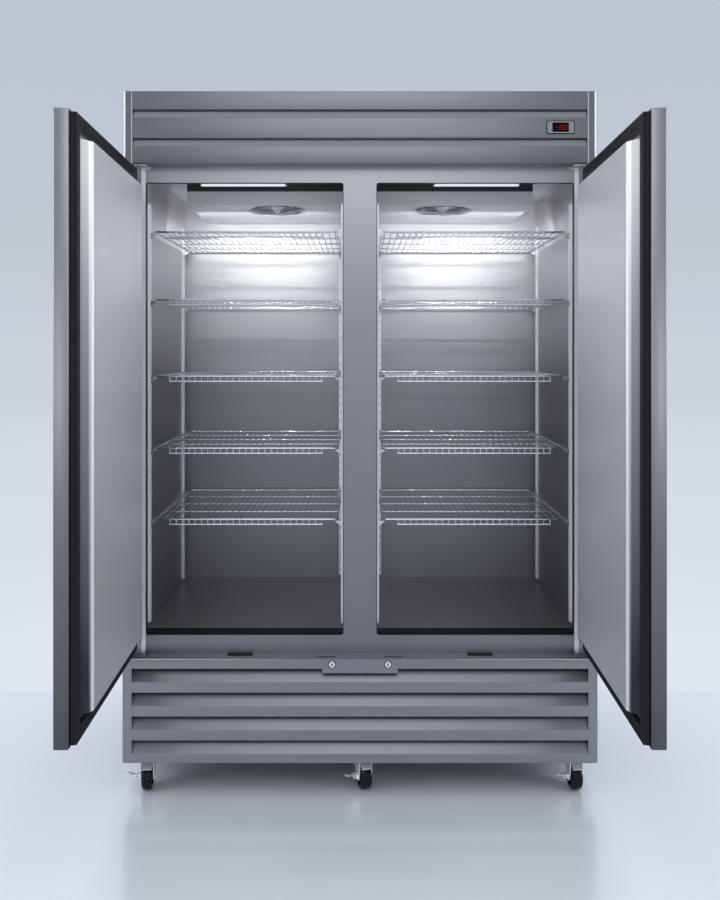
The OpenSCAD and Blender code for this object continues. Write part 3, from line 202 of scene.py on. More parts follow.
def rounded(points, radii, steps=4, closed=False):
    """The same line with each inner corner rounded to its radius."""
    n, line = len(points), []
    for i, p in enumerate(points):
        r = radii[i] if isinstance(radii, (list, tuple)) else radii
        if r <= 0 or (not closed and i in (0, n - 1)):
            line.append(tuple(p))
            continue
        p, a, b = Vector(p), Vector(points[i - 1]), Vector(points[(i + 1) % n])
        u, w = (a - p).normalized(), (b - p).normalized()
        half = acos(max(-1, min(1, u.dot(w)))) / 2
        if half > pi / 2 - 0.01:
            line.append(tuple(p))
            continue
        run = min(r / tan(half), (a - p).length * 0.49, (b - p).length * 0.49)
        r = run * tan(half)
        centre = p + (u + w).normalized() * (r / sin(half))
        start, end = p + u * run - centre, p + w * run - centre
        turn = acos(max(-1, min(1, start.dot(end) / (r * r))))
        for k in range(steps + 1):
            t = k / steps
            q = (start * sin((1 - t) * turn) + end * sin(t * turn)) / sin(turn)
            line.append(tuple(centre + q))
    return line


def sheet(line, t):
    """A bent sheet's outline: the line, and the line again t to its right."""
    back = []
    for i, p in enumerate(line):
        a, b = line[max(i - 1, 0)], line[min(i + 1, len(line) - 1)]
        d0, d1 = (p[0] - a[0], p[1] - a[1]), (b[0] - p[0], b[1] - p[1])
        l0, l1 = hypot(*d0), hypot(*d1)
        n0 = (d0[1] / l0, -d0[0] / l0) if l0 else (d1[1] / l1, -d1[0] / l1)
        n1 = (d1[1] / l1, -d1[0] / l1) if l1 else n0
        m = (n0[0] + n1[0], n0[1] + n1[1])
        k = t / max(0.35, (m[0] * n0[0] + m[1] * n0[1]))
        back.append((p[0] + m[0] * k, p[1] + m[1] * k))
    return list(line) + back[::-1]


def rect(x0, y0, x1, y1, r=0.0, steps=5):
    return rounded([(x0, y0), (x1, y0), (x1, y1), (x0, y1)], r, steps, closed=True)


def piece(name, solid, place, body, material, slot=None, replaces=(), smooth=35, bevel=0.0, segments=2):
    mesh = bpy.data.meshes.new(name)
    mesh.from_pydata([place(p) for p in solid.v], [], solid.f)
    mesh.validate()
    work = bmesh.new()
    work.from_mesh(mesh)
    bmesh.ops.recalc_face_normals(work, faces=work.faces)
    work.to_mesh(mesh)
    work.free()
    for p in mesh.polygons:
        p.use_smooth = True
    mesh.set_sharp_from_angle(angle=radians(smooth))
    for m in material if isinstance(material, (list, tuple)) else [material]:
        mesh.materials.append(m)
    o = bpy.data.objects.new(name, mesh)
    bpy.context.scene.collection.objects.link(o)
    if bevel:
        b = o.modifiers.new("edge", "BEVEL")
        b.width, b.segments, b.limit_method, b.angle_limit = bevel * 0.001, segments, "ANGLE", radians(40)
        b.harden_normals = True
    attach(o, body)
    if replaces:
        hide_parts(*replaces)
    return o


def fixed(name, solid, *rest, **more):
    """A piece of the cabinet, drawn behind the header's face."""
    return piece(name, solid, at_front, "cabinet", *rest, **more)


# Materials: each has its colour, gloss and surface from its own nodes

def maker(tree):
    """For a tree: node() makes one of a kind with its inputs set, mix() mixes what a socket has with more."""
    def node(kind, operation=None, **values):
        n = tree.nodes.new("ShaderNode" + kind)
        if operation:
            n.operation = operation
        for key, value in values.items():
            n.inputs[key.replace("_", " ")].default_value = value
        return n

    def mix(kind, share, here, there, socket):
        n = node("Mix")
        n.data_type = kind
        n.inputs["A"].default_value, n.inputs["B"].default_value = here, there
        if socket.is_linked:
            tree.links.new(socket.links[0].from_socket, n.inputs["A"])
        tree.links.new(share.outputs["Result"], n.inputs["Factor"])
        tree.links.new(n.outputs["Result"], socket)

    return node, mix


def material(name, color, rough, metal=0.0, grain=None, fine=0.05, bump=0.0, mottle=None, tint=0.0,
             wave=0.0, spec=0.5, coat=0.0, glow=None, glow_power=0.0, zones=()):
    """grain: how many brush marks or specks per metre along X, Y and Z; fine: what they do to the gloss;
    bump: what they do to the surface in millimetres; mottle: the patches per metre that tint shades;
    wave: how far thin sheet bulges, in millimetres; zones: each an axis, where along it another colour and
    metallic share begin and are full (X counts from the middle to both sides), and those two. They hold
    the part of the studio's fades and glints that the lamps don't make."""
    m = bpy.data.materials.new(name)
    m.use_nodes = True
    links, s = m.node_tree.links, m.node_tree.nodes["Principled BSDF"]
    node, mix = maker(m.node_tree)
    for key, value in (("Metallic", metal), ("Specular IOR Level", spec), ("Coat Weight", coat),
                       ("Coat Roughness", 0.12), ("Base Color", (*color, 1)), ("Roughness", rough)):
        s.inputs[key].default_value = value
    if glow:
        s.inputs["Emission Color"].default_value = (*glow, 1)
        s.inputs["Emission Strength"].default_value = glow_power
    place = node("TexCoord")
    normal = None

    def noise(scale, detail, w=0.0):
        mapping = node("Mapping", Scale=scale, Location=(w, w * 0.7, w * 1.3))
        links.new(place.outputs["Object"], mapping.inputs["Vector"])
        n = node("TexNoise", Scale=1.0, Detail=detail, Roughness=0.6)
        links.new(mapping.outputs["Vector"], n.inputs["Vector"])
        return n.outputs["Fac"]

    def spread(value, low, high):
        r = node("MapRange", From_Min=0.3, From_Max=0.7, To_Min=low, To_Max=high)
        links.new(value, r.inputs["Value"])
        return r

    def raise_by(value, depth, normal):
        b = node("Bump", Strength=1.0, Distance=depth * 0.001)
        links.new(value, b.inputs["Height"])
        if normal:
            links.new(normal, b.inputs["Normal"])
        return b.outputs["Normal"]

    if wave:
        normal = raise_by(noise((2.3, 2.1, 1.6), 1.0, 5.0), wave, normal)
    if grain:
        marks = noise(grain, 3.0)
        gloss = spread(marks, max(0.02, rough - fine), rough + fine)
        links.new(gloss.outputs["Result"], s.inputs["Roughness"])
        if bump:
            normal = raise_by(marks, bump, normal)
    if tint:
        patches = noise(mottle or (9, 9, 9), 4.0, 2.0)
        if grain:
            both, half = node("Math", "MULTIPLY_ADD"), node("Math", "MULTIPLY")
            both.inputs[1].default_value = half.inputs[1].default_value = 0.5
            links.new(marks, half.inputs[0])
            links.new(patches, both.inputs[0])
            links.new(half.outputs["Value"], both.inputs[2])
            patches = both.outputs["Value"]
        dark, pale = [c * (1 - tint) for c in color], [min(1, c * (1 + tint)) for c in color]
        mix("RGBA", spread(patches, 0, 1), (*dark, 1), (*pale, 1), s.inputs["Base Color"])
    for axis, low, high, other, metal_there in zones:
        split = node("SeparateXYZ")
        links.new(place.outputs["Object"], split.inputs["Vector"])
        where = split.outputs[axis]
        if axis == "X":
            size = node("Math", "ABSOLUTE")
            links.new(where, size.inputs[0])
            where = size.outputs["Value"]
        r = node("MapRange", From_Min=low, From_Max=high)
        links.new(where, r.inputs["Value"])
        mix("RGBA", r, (*color, 1), (*other, 1), s.inputs["Base Color"])
        mix("FLOAT", r, metal, metal_there, s.inputs["Metallic"])
    if normal:
        links.new(normal, s.inputs["Normal"])
    return m


ALONG_X, ALONG_Z = (3, 900, 900), (900, 900, 3)
SPECKS = (400, 400, 400)


def look(*values, **more):
    """What material() takes after a name."""
    return values, more


LOOKS = {
    # Painted shade: the shell and the doors' outer sheet get darker towards the bottom.
    "outer_steel": look((0.085, 0.087, 0.092), 0.34, 1.0, ALONG_Z, 0.03, 0.006, (3, 3, 1.5), 0.03, 0.6,
                        zones=[("Z", 0.45, 1.2, (0.285, 0.288, 0.296), 1.0)]),
    "header_steel": look((0.168, 0.174, 0.187), 0.31, 1.0, ALONG_X, 0.03, 0.006, (2, 6, 9), 0.02, 0.3),
    # Painted shade by height, darker towards the bottom; a near-white painted highlight on the jambs beside
    # the doors, and a paler painted tone on the frame outside them.
    "frame_steel": look((0.20, 0.204, 0.212), 0.36, 0.75, ALONG_Z, 0.03, 0.006, (5, 5, 3), 0.02, 0.2,
                        zones=[("Z", 0.5, 1.75, (0.36, 0.367, 0.38), 0.75),
                               ("X", 0.6302, 0.6308, (0.95, 0.955, 0.97), 0.25),
                               ("X", 0.6426, 0.6434, (0.42, 0.426, 0.44), 0.5)]),
    # Painted light and shade: the liner is paler towards the top of the cavity, under the lit strips, and
    # darker lower down.
    "liner_steel": look((0.27, 0.272, 0.282), 0.38, 0.8, ALONG_X, 0.03, 0.003, (4, 4, 6), 0.04, 3.0,
                        zones=[("Z", 1.15, 1.66, (0.66, 0.662, 0.675), 0.5)]),
    # Painted shade: the upper part of the evaporator housing's front is near-black.
    "cover_steel": look((0.74, 0.745, 0.77), 0.4, 0.3, ALONG_X, 0.03, 0.004, (6, 6, 9), 0.04, 0.4,
                        zones=[("Z", 1.7925, 1.7965, (0.05, 0.05, 0.055), 0.6)]),
    # A paler copy of the header's steel for the underside of its return flange: painted light.
    "header_return": look((0.30, 0.31, 0.33), 0.36, 0.9, ALONG_X, 0.03, 0.004, (2, 6, 9), 0.02),
    # Near-white painted highlight, for the posts' outer bends and the shelf standards.
    "corner_steel": look((0.95, 0.955, 0.97), 0.3, 0.3, ALONG_Z, 0.03, 0.002, (5, 5, 3), 0.02),
    # Painted light and shade on the doors' inner panels: darker towards the bottom and towards the free edge,
    # paler up high and near the hinge.
    "door_liner": look((0.60, 0.605, 0.62), 0.42, 0.62, ALONG_Z, 0.03, 0.004, (3, 3, 2), 0.015, 0.4,
                       zones=[("Z", 0.5, 1.3, (0.79, 0.795, 0.81), 0.62),
                              ("Y", -0.6, -0.12, (0.88, 0.885, 0.9), 0.62)]),
    # Painted highlight along the bend round the doors' raised face, fading to dark towards the bottom.
    "door_bend_glint": look((0.10, 0.103, 0.11), 0.4, 0.8, ALONG_Z, 0.03, 0.004, (3, 3, 2), 0.015, 0.2,
                      zones=[("Z", 0.5, 1.7, (0.84, 0.845, 0.86), 0.7)]),
    # Painted shade on the raised face's sloping wall: near-black below, paler towards the top.
    "door_wall_shade": look((0.035, 0.036, 0.04), 0.38, 0.8, ALONG_Z, 0.03, 0.004, (3, 3, 2), 0.015, 0.2,
                      zones=[("Z", 0.58, 1.8, (0.52, 0.525, 0.54), 0.8)]),
    # Painted light and shade by height: the upper hinge brackets are paler than the lower ones.
    "bracket_steel": look((0.20, 0.203, 0.21), 0.34, 0.8, ALONG_X, 0.03, 0.003, (6, 6, 6), 0.02,
                          zones=[("Z", 1.0, 1.1, (0.56, 0.565, 0.58), 0.8)]),
    # A paler, less metallic copy of the plated steel, so that the forks and pedals in the shade under the
    # cabinet look lit: painted light.
    "caster_steel": look((0.86, 0.87, 0.9), 0.3, 0.5, ALONG_Z, 0.03, 0.002, (20, 20, 20), 0.03),
    # Painted highlight along the grille's top bend, strongest towards the sides and fading towards the
    # middle.
    "grille_bend_glint": look((0.25, 0.255, 0.27), 0.34, 0.8, ALONG_X, 0.03, 0.003, (6, 6, 6), 0.02,
                        zones=[("X", 0.2, 0.6, (0.9, 0.905, 0.92), 0.4)]),
    # Also the mid-grey painted highlight on the posts' inner bends.
    "ledge_steel": look((0.42, 0.43, 0.455), 0.36, 0.8, ALONG_X, 0.03, 0.004, (2, 6, 9), 0.02, 0.2),
    "galvanised": look((0.36, 0.37, 0.38), 0.6, 1.0, (60, 60, 60), 0.12, 0.01, (45, 45, 45), 0.14, 1.0),
    "base_steel": look((0.03, 0.031, 0.034), 0.5, 0.0, (300, 300, 300), 0.06, 0.03, (20, 20, 20), 0.2),
    "foam": look((0.78, 0.68, 0.42), 0.9, 0.0, (180, 180, 180), 0.05, 0.6, (25, 25, 25), 0.15),
    "black_plastic": look((0.008, 0.008, 0.009), 0.45, 0.0, SPECKS, 0.05, 0.02, (30, 30, 30), 0.2),
    "bezel_plastic": look((0.25, 0.26, 0.28), 0.33, 0.6, SPECKS, 0.06, 0.01, (60, 60, 60), 0.05),
    "display": look((0.002, 0.002, 0.0025), 0.2, 0.0, (120, 120, 120), 0.03, 0.0, (40, 40, 40), 0.2,
                    spec=0.06),
    "plated": look((0.66, 0.665, 0.68), 0.26, 0.8, (90, 90, 90), 0.08, 0.02, (60, 60, 60), 0.08),
    "white_plastic": look((0.74, 0.74, 0.70), 0.4, 0.0, (300, 300, 300), 0.05, 0.01, (40, 40, 40), 0.04),
    "wire": look((0.62, 0.63, 0.65), 0.22, 1.0, (150, 150, 150), 0.06, 0.01, (30, 30, 30), 0.06),
    "lamp": look((0.85, 0.87, 0.9), 0.35, 0.0, (200, 200, 200), 0.05, 0.0, (30, 30, 30), 0.03,
                 glow=(0.92, 0.95, 1.0), glow_power=0.5),
    "fins": look((0.62, 0.63, 0.65), 0.35, 1.0, (50, 50, 400), 0.1, 0.02, (20, 20, 20), 0.1),
    "breaker_plastic": look((0.004, 0.004, 0.005), 0.5, 0.0, SPECKS, 0.04, 0.01, (30, 30, 30), 0.2,
                            spec=0.15),
    "fan_plastic": look((0.02, 0.02, 0.023), 0.38, 0.0, SPECKS, 0.05, 0.02, (30, 30, 30), 0.2),
    "motor": look((0.06, 0.063, 0.066), 0.42, 0.2, (250, 250, 250), 0.06, 0.03, (30, 30, 30), 0.15),
    "compressor_paint": look((0.012, 0.012, 0.014), 0.3, 0.0, (120, 120, 120), 0.06, 0.12, (20, 20, 20),
                             0.2, coat=0.3),
    "copper": look((0.75, 0.36, 0.2), 0.3, 1.0, (80, 80, 80), 0.1, 0.01, (35, 35, 35), 0.2),
    "gasket": look((0.006, 0.006, 0.0066), 0.5, 0.0, SPECKS, 0.05, 0.02, (12, 12, 12), 0.2, spec=0.22),
    "wheel_rubber": look((0.003, 0.003, 0.0035), 0.17, 0.0, SPECKS, 0.03, 0.006, (60, 60, 60), 0.2,
                         spec=0.2),
    "grille_steel": look((0.232, 0.239, 0.256), 0.36, 1.0, ALONG_X, 0.03, 0.006, (2, 6, 9), 0.02, 0.3),
    # Flat near-black for painted shade: behind the slats' ends, round the locks and in their keyholes. The
    # key marks use it as print.
    "dark_gap": look((0.004, 0.004, 0.005), 0.7, 0.0, (300, 300, 300), 0.05, 0.0, (40, 40, 40), 0.2),
    "digits": look((0.2, 0.002, 0.002), 0.4, 0.0, SPECKS, 0.05, 0.0, (80, 80, 80), 0.1, spec=0.05,
                   glow=(1.0, 0.002, 0.004), glow_power=0.34),
    "cap_grey": look((0.30, 0.31, 0.32), 0.35, 0.3, (300, 300, 300), 0.05, 0.01, (60, 60, 60), 0.08),
}
M = {name: material(name, *values, **more) for name, (values, more) in LOOKS.items()}
SLOT_OF = {p["node"]: p["material_slot"] for p in frame["record"]["subparts"]}
# The evaporator cover takes painted shade, the hinge brackets painted light and shade by height, the caster
# plates painted light, and the shelf standards a near-white painted highlight.
OWN = {"evaporator_cover": "cover_steel", "hinge_brackets": "bracket_steel", "caster_plates": "caster_steel",
       "side_panel_left": "header_steel", "side_panel_right": "header_steel",
       "breaker_strips": "breaker_plastic", "shelf_standards": "corner_steel"}
for name, node in frame["nodes"].items():
    node.data.materials.clear()
    node.data.materials.append(M[OWN.get(name, SLOT_OF[name])])


# Doors

def as_object(solid):
    mesh = bpy.data.meshes.new("work")
    mesh.from_pydata([Vector(p) * 0.001 for p in solid.v], [], solid.f)
    o = bpy.data.objects.new("work", mesh)
    bpy.context.scene.collection.objects.link(o)
    return o


def combine(solid, *steps):
    """Adds or cuts closed solids, in order: each step is ("UNION" or "DIFFERENCE", solid)."""
    o = as_object(solid)
    tools = []
    for kind, other in steps:
        tool = as_object(other)
        tools.append(tool)
        b = o.modifiers.new("b", "BOOLEAN")
        b.operation, b.solver, b.object = kind, "EXACT", tool
    got = bpy.data.meshes.new_from_object(o.evaluated_get(bpy.context.evaluated_depsgraph_get()))
    out = Solid()
    out.add([v.co * 1000 for v in got.vertices], [tuple(p.vertices) for p in got.polygons])
    for x in [o, *tools]:
        bpy.data.objects.remove(x)
    return out


def block(lo, hi):
    s = Solid()
    s.box(lo, hi)
    return s


def rod(a, b, r, n=32):
    s = Solid()
    s.tube([a, b], r, n)
    return s


def door_loops(line, corner, steps):
    """Each (inset, depth) of a line, run round the door with corners of the radius that corner gives."""
    return [[(x, y, z) for x, z in rect(a, a, DOOR_W - a, DOOR_H - a, corner(a), steps)] for a, y in line]


WALL_END, BEND_END, RIDGES = 63, 67, 5
PULL_X = DOOR_W - PULL_INSET - PULL_W
PULL_LO, PULL_HI = PULL_Z - PULL_H / 2, PULL_Z + PULL_H / 2
CAM_IN, CAM_OUT, CAM_ROOM = CAM_W / 2 + 4, CAM_L + 4, CAM_T + 6


def pull_block(grow, y0, y1, r):
    s = Solid()
    s.facing(rect(PULL_X - grow, PULL_LO - grow, PULL_X + PULL_W + grow, PULL_HI + grow, r), y0, y1)
    return s


def door_shell():
    """The outer sheet: a hollow slab with a pull sunk into it, hinge holes and the cam's slot."""
    line = rounded([(8, SHELL_T), (0, SHELL_T), (0, 0), (8, 0)], [0, SHELL_R, SHELL_R, 0], 4)
    slab, t = Solid(), SHEET_T
    slab.skin(door_loops(line, lambda a: max(4.5 - a, 0.2), 5), first=True, last=True)
    steps = [
        ("DIFFERENCE", block((t, t, t), (DOOR_W - t, SHELL_T - t, DOOR_H - t))),
        ("DIFFERENCE", block((SHELL_LIP, t + 1, SHELL_LIP),
                             (DOOR_W - SHELL_LIP, SHELL_T + 5, DOOR_H - SHELL_LIP))),
        ("UNION", pull_block(t, 0.3, PULL_D + t, 3.2)),
        ("DIFFERENCE", pull_block(0, -5, PULL_D, 2)),
    ]
    for z0, z1 in ((-5, BUSH_L + 0.3), (DOOR_H - BUSH_L - 0.3, DOOR_H + 5)):
        hole = rod((HINGE_IN, HINGE_BACK, z0), (HINGE_IN, HINGE_BACK, z1), BUSH_R + 0.06)
        steps.append(("DIFFERENCE", hole))
    x1, y = DOOR_W + 2 - LOCK_X, CAM_Y + CAM_T / 2
    steps.append(("DIFFERENCE", block((x1 - CAM_OUT, y - CAM_ROOM / 2, -5),
                                      (x1 + CAM_IN, y + CAM_ROOM / 2, LOCK_Z + CAM_L - DOOR_Z + 4))))
    return combine(slab, *steps)


def on_wall(y):
    """A point of the raised face's sloping wall, at a depth."""
    return PLUG_FOOT + (PLUG_INSET - PLUG_FOOT) * (y - SHELL_T - 1) / (PLUG_OUT - SHELL_T - 1), y


def door_panel():
    """The door's inner panel: a flat margin, and a raised face with a soft bend round it. With each face's
    tone: 0 for the flats, 1 for the wall's painted shade and 2 for its bend's painted highlight."""
    s = Solid()
    line = rounded(
        [(SHELL_LIP, SHELL_T - 0.5), (SHELL_LIP, SHELL_T + 1), (PLUG_FOOT, SHELL_T + 1),
         on_wall(WALL_END), on_wall(BEND_END), (PLUG_INSET, PLUG_OUT), (PLUG_INSET + 30, PLUG_OUT)],
        [0, 0, 2.5, 0, 0, 4.4, 0], 8)
    loops = door_loops(line, lambda a: max(1, min(3, a - 42)), 5)
    s.skin(loops, last=True)
    tones = [0]
    for (a, _), (_, top) in zip(line, line[1:]):
        wall, bend = a > PLUG_FOOT - 3 and top < WALL_END + 0.5, a > PLUG_FOOT and top < BEND_END + 0.5
        tones += [1 if wall else 2 if bend else 0] * len(loops[0])
    return s, tones


def door_seal():
    """A soft gasket: a foot, two folded sides and a face with ridges that run along it."""
    foot = GASKET_INSET + (GASKET_W - GASKET_FOOT_W) / 2
    y0, face = SHELL_T + 1.0, RECESS_D - GASKET_GAP
    a0, a1 = GASKET_INSET, GASKET_INSET + GASKET_W
    line = [(foot, y0), (a0 + 1.0, y0), (a0 + 0.2, y0 + 1.2), (a0, y0 + 7.5), (a0 + 1.2, y0 + 9.0),
            (a0 + 0.2, y0 + 10.5), (a0 + 0.4, face - 1.2), (a0 + 2.5, face)]
    for k in range(1, RIDGES):
        x = a0 + 2.5 + k * ((GASKET_W - 5) / RIDGES)
        line += [(x - 1.1, face), (x, face - 1.8), (x + 1.1, face)]
    line += [(a1 - 2.5, face), (a1 - 0.5, face - 1.2), (a1 - 0.2, y0 + 11.5), (a1 - 1.6, y0 + 9.5),
             (a1, y0 + 7.5), (a1 - 1.5, y0 + GASKET_FOOT_H + 0.5), (foot + GASKET_FOOT_W, y0 + GASKET_FOOT_H),
             (foot + GASKET_FOOT_W, y0)]
    s = Solid()
    s.skin(door_loops(line, lambda a: max(0.3, 12 - a), 3), closed=True)
    return s


shell, seal = door_shell(), door_seal()
panel, tones = door_panel()
for side, word in SIDES:
    put, body = on_door(side), f"door_{word}"
    piece(f"door_shell_{word}", shell, put, body, M["outer_steel"], "outer_steel", [f"door_skin_{word}"], 30)
    # The wall of the raised face takes painted shade, its bend a painted highlight.
    looks = [M["door_liner"], M["door_wall_shade"], M["door_bend_glint"]]
    inner = piece(f"door_panel_{word}", panel, put, body, looks, "door_liner", [f"door_liner_{word}"], 30)
    for polygon, tone in zip(inner.data.polygons, tones):
        polygon.material_index = tone
    piece(f"door_seal_{word}", seal, put, body, M["gasket"], "gasket", [f"door_gasket_{word}"], 40)


# Header: one sheet bent into three overlapping slats, and the controller in the middle one

SLAT_TOP, SLAT_PITCH, SLAT_STEP, SLAT_SLOPE = 53.0, 82.8, 9.0, 23.0
SLAT_LIPS = (ROOF_Z - SLAT_TOP, ROOF_Z - SLAT_TOP - SLAT_PITCH)
CTRL_X, CTRL_Z = 579.0, SLAT_LIPS[0] - SLAT_PITCH / 2 - SLAT_SLOPE / 2 + 1
BEZEL_W, BEZEL_H, BEZEL_T = 81.7, 38.7, 3.0
BODY_W, BODY_H, BODY_D = 72.0, 30.0, 48.0
WINDOW_W, WINDOW_H = 48.0, 27.0
KEY_X, KEY_W, KEY_H = 31.0, 8.0, 24.0

line = [(0, ROOF_Z)]
radii = [0]
for lip in SLAT_LIPS:
    line += [(0, lip), (SLAT_STEP, lip + 0.6), (0, lip - SLAT_SLOPE)]
    radii += [1.3, 0.8, 14]
line += [(0, HEADER_Z + SHEET_T), (RECESS_D, HEADER_Z + SHEET_T)]
radii += [2.2, 0]
header = Solid()
slat_half = HALF_W - POST_W - GAP
outline = sheet(rounded(line, radii, 4), -SHEET_T + 0.2)
header.along_x(outline, -slat_half, slat_half)


def body_block(grow, y0, y1):
    """A block the size of the controller's body, seen from the front."""
    w, h = BODY_W / 2, BODY_H / 2
    return block((CTRL_X - w - grow, y0, CTRL_Z - h - grow), (CTRL_X + w + grow, y1, CTRL_Z + h + grow))


header = combine(header, ("DIFFERENCE", body_block(GAP, -5, 20)))
face = fixed("header", header, [M["header_steel"], M["header_return"]], "header_steel", ["header_panel"], 30)
# The return flange of the same sheet takes the paler copy of its steel: painted light.
for polygon in face.data.polygons:
    if polygon.center[2] < (HEADER_Z + 2) * 0.001:
        polygon.material_index = 1

# At each side: a dark strip of painted shade behind the slats' ends, a strip of painted highlight on each of
# the post's two bends, and a hinge tab
# The outer bend's strip is near-white and the inner one mid-grey: painted highlights on thin strips just
# proud of the post.
POST_GLINTS = (("outer", HALF_W - 8.0, 5.2, "corner_steel"), ("inner", HALF_W - 27.6, 2.6, "ledge_steel"))
TAB_BOXES = ((612, HEADER_Z - 4.4, 640, HEADER_Z - 0.6), (622, HEADER_Z - 8.8, 632, HEADER_Z - 4))
for side, word in SIDES:
    # A near-black strip behind the slats' ends stands for the shade there: painted shade.
    s = Solid()
    x0, x1 = sorted((side * (slat_half - 1.5), side * (slat_half + 3)))
    s.box((x0, 12, HEADER_Z + 4), (x1, 14, ROOF_Z - 4))
    fixed(f"slat_shadow_{word}", s, M["dark_gap"], "black_plastic")
    for edge, x0, w, tone in POST_GLINTS:
        line = [(side * p, q) for p, q in rect(x0, -0.3, x0 + w, 0.2, 0.2, 3)]
        bend = Solid()
        bend.upright(line, HEADER_Z + 1, ROOF_Z - 1)
        fixed(f"post_glint_{edge}_{word}", bend, M[tone], "outer_steel")
    tab = Solid()
    for x0, z0, x1, z1 in TAB_BOXES:
        x0, x1 = sorted((side * x0, side * x1))
        tab.box((x0, RECESS_D - 1.9, z0), (x1, RECESS_D - 0.1, z1))
    fixed(f"hinge_tab_{word}", tab, M["white_plastic"], "white_plastic", bevel=0.4)


def on_face(x, z, w, h, r=0.0, steps=5):
    return [(CTRL_X + p, CTRL_Z + q) for p, q in rect(x - w / 2, z - h / 2, x + w / 2, z + h / 2, r, steps)]


def slab_at(outline, y0, y1):
    s = Solid()
    s.facing(outline, y0, y1)
    return s


key_holes = [("DIFFERENCE", slab_at(on_face(x, 0, KEY_W + 0.6, KEY_H + 0.6, 1.8), -9, 0.5))
             for x in (-KEY_X, KEY_X)]
bezel = combine(
    slab_at(on_face(0, 0, BEZEL_W - 5, BEZEL_H - 5, 3.5), -BEZEL_T, 0),
    ("UNION", body_block(0, -1.5, BODY_D)),
    ("DIFFERENCE", slab_at(on_face(0, 0, WINDOW_W, WINDOW_H, 1.5), -9, 1.0)),
    *key_holes,
)
fixed("controller_face", bezel, M["bezel_plastic"], "bezel_plastic", ["controller_bezel"], bevel=0.6)
rim = combine(slab_at(on_face(0, 0, BEZEL_W, BEZEL_H, 5), -BEZEL_T + 0.7, 0),
              ("DIFFERENCE", slab_at(on_face(0, 0, BEZEL_W - 4.8, BEZEL_H - 4.8, 3.6), -9, 9)))
fixed("controller_rim", rim, M["breaker_plastic"], "black_plastic", bevel=0.5)

# Seven-segment digits, slanted, just proud of the window
SEGMENTS = {"-": "g", "2": "abged", "0": "abcdef"}
DIGIT_W, DIGIT_H, DIGIT_GAP, BAR, SLANT = 6.2, 11.8, 2.1, 0.95, 0.22
DIGIT_X, DIGIT_Y = -13.6, (-2.55, -2.4)
digits = Solid()


def bar(x0, z0, x1, z1, half):
    """One bar of a digit, pointed at both ends."""
    a, b = Vector((x0, z0)), Vector((x1, z1))
    u = (b - a).normalized()
    n = Vector((-u[1], u[0])) * half
    a, b = a + u * half * 0.6, b - u * half * 0.6
    pts = [a, a + u * half + n, b - u * half + n, b, b - u * half - n, a + u * half - n]
    digits.facing([(CTRL_X + p[0] + p[1] * SLANT, CTRL_Z + p[1]) for p in pts], *DIGIT_Y)


x = DIGIT_X
for mark in ("-", "2", "0", ".", "0"):
    if mark == ".":
        dot = rect(-0.6, -0.6, 0.6, 0.6, 0.3, 2)
        digits.facing([(CTRL_X + x - 1.9 + p, CTRL_Z - 6.6 + q) for p, q in dot], *DIGIT_Y)
        continue
    for name in SEGMENTS[mark]:
        w, h = DIGIT_W, DIGIT_H / 2
        ends = {"a": (0, h, w, h), "b": (w, h, w, 0), "c": (w, 0, w, -h), "d": (0, -h, w, -h),
                "e": (0, 0, 0, -h), "f": (0, h, 0, 0), "g": (0, 0, w, 0)}[name]
        bar(x + ends[0], ends[1], x + ends[2], ends[3], BAR / 2)
    x += DIGIT_W + DIGIT_GAP
fixed("display_digits", digits, M["digits"], "display")

# Plain key marks: two arrows and a dot on one strip, a ring, a line and a dot on the other
for side, word in SIDES:
    marks = Solid()
    cx = side * KEY_X
    shapes = [
        [(-1.7, 5.4), (1.7, 5.4), (0, 8.2)] if side < 0 else rect(-1.7, 6.2, 1.7, 7.3),
        [(-1.7, 1.4), (0, -1.4), (1.7, 1.4)] if side < 0 else rect(-1.3, -1.3, 1.3, 1.3, 1.3),
        rect(-1.0, -7.8, 1.0, -5.8, 0.9),
    ]
    for shape in shapes:
        marks.facing([(CTRL_X + cx + p, CTRL_Z + q) for p, q in shape], -BEZEL_T - 0.27, -BEZEL_T - 0.1)
    piece(f"key_marks_{word}", marks, at_front, f"key_strip_{word}", M["dark_gap"], "black_plastic")


# Lower grille: four slots between bands, each band bent back into the vane of the slot above it

SLOT_H, SLOT_PITCH, SLOT_TOP, SLOT_END, VANE_D, VANE_RISE = 38.0, 69.0, 29.0, 27.5, 30.0, 3.0
LOCK_PLATE_W, LOCK_PLATE_H, GRILLE_R = 109.0, 41.0, 6.0
PAD_X, PAD_Y = 351.5, 42
SLOT_HALF = HALF_W - SLOT_END
slots = [SILL_Z - SLOT_TOP - n * SLOT_PITCH - SLOT_H for n in range(4)]
lock_holes = [("DIFFERENCE", rod((sg * LOCK_X, -5, LOCK_Z), (sg * LOCK_X, 12, LOCK_Z), LOCK_R + 0.06))
              for sg in (-1, 1)]
grille = Solid()
for n in range(5):
    low = slots[n] + SLOT_H if n < 4 else CASTER_H
    hem = [(0, low), (7, low + 0.4)]
    if n:
        z0 = slots[n - 1]
        band = [(VANE_D, z0 + SLOT_H + VANE_RISE), (0, z0)] + hem
        radii = [0, 2.4, 1.2, 0]
    else:
        band, radii = [(4, SILL_Z), (0, SILL_Z)] + hem, [0, 2.0, 1.2, 0]
    outline = sheet(rounded(band, radii, 5), -SHEET_T)
    if n:
        grille.along_x(outline, -SLOT_HALF, SLOT_HALF)
    else:
        top_band = Solid()
        top_band.along_x(outline, -SLOT_HALF, SLOT_HALF)
        top_band = combine(top_band, *lock_holes)
        grille.add(top_band.v, top_band.f)
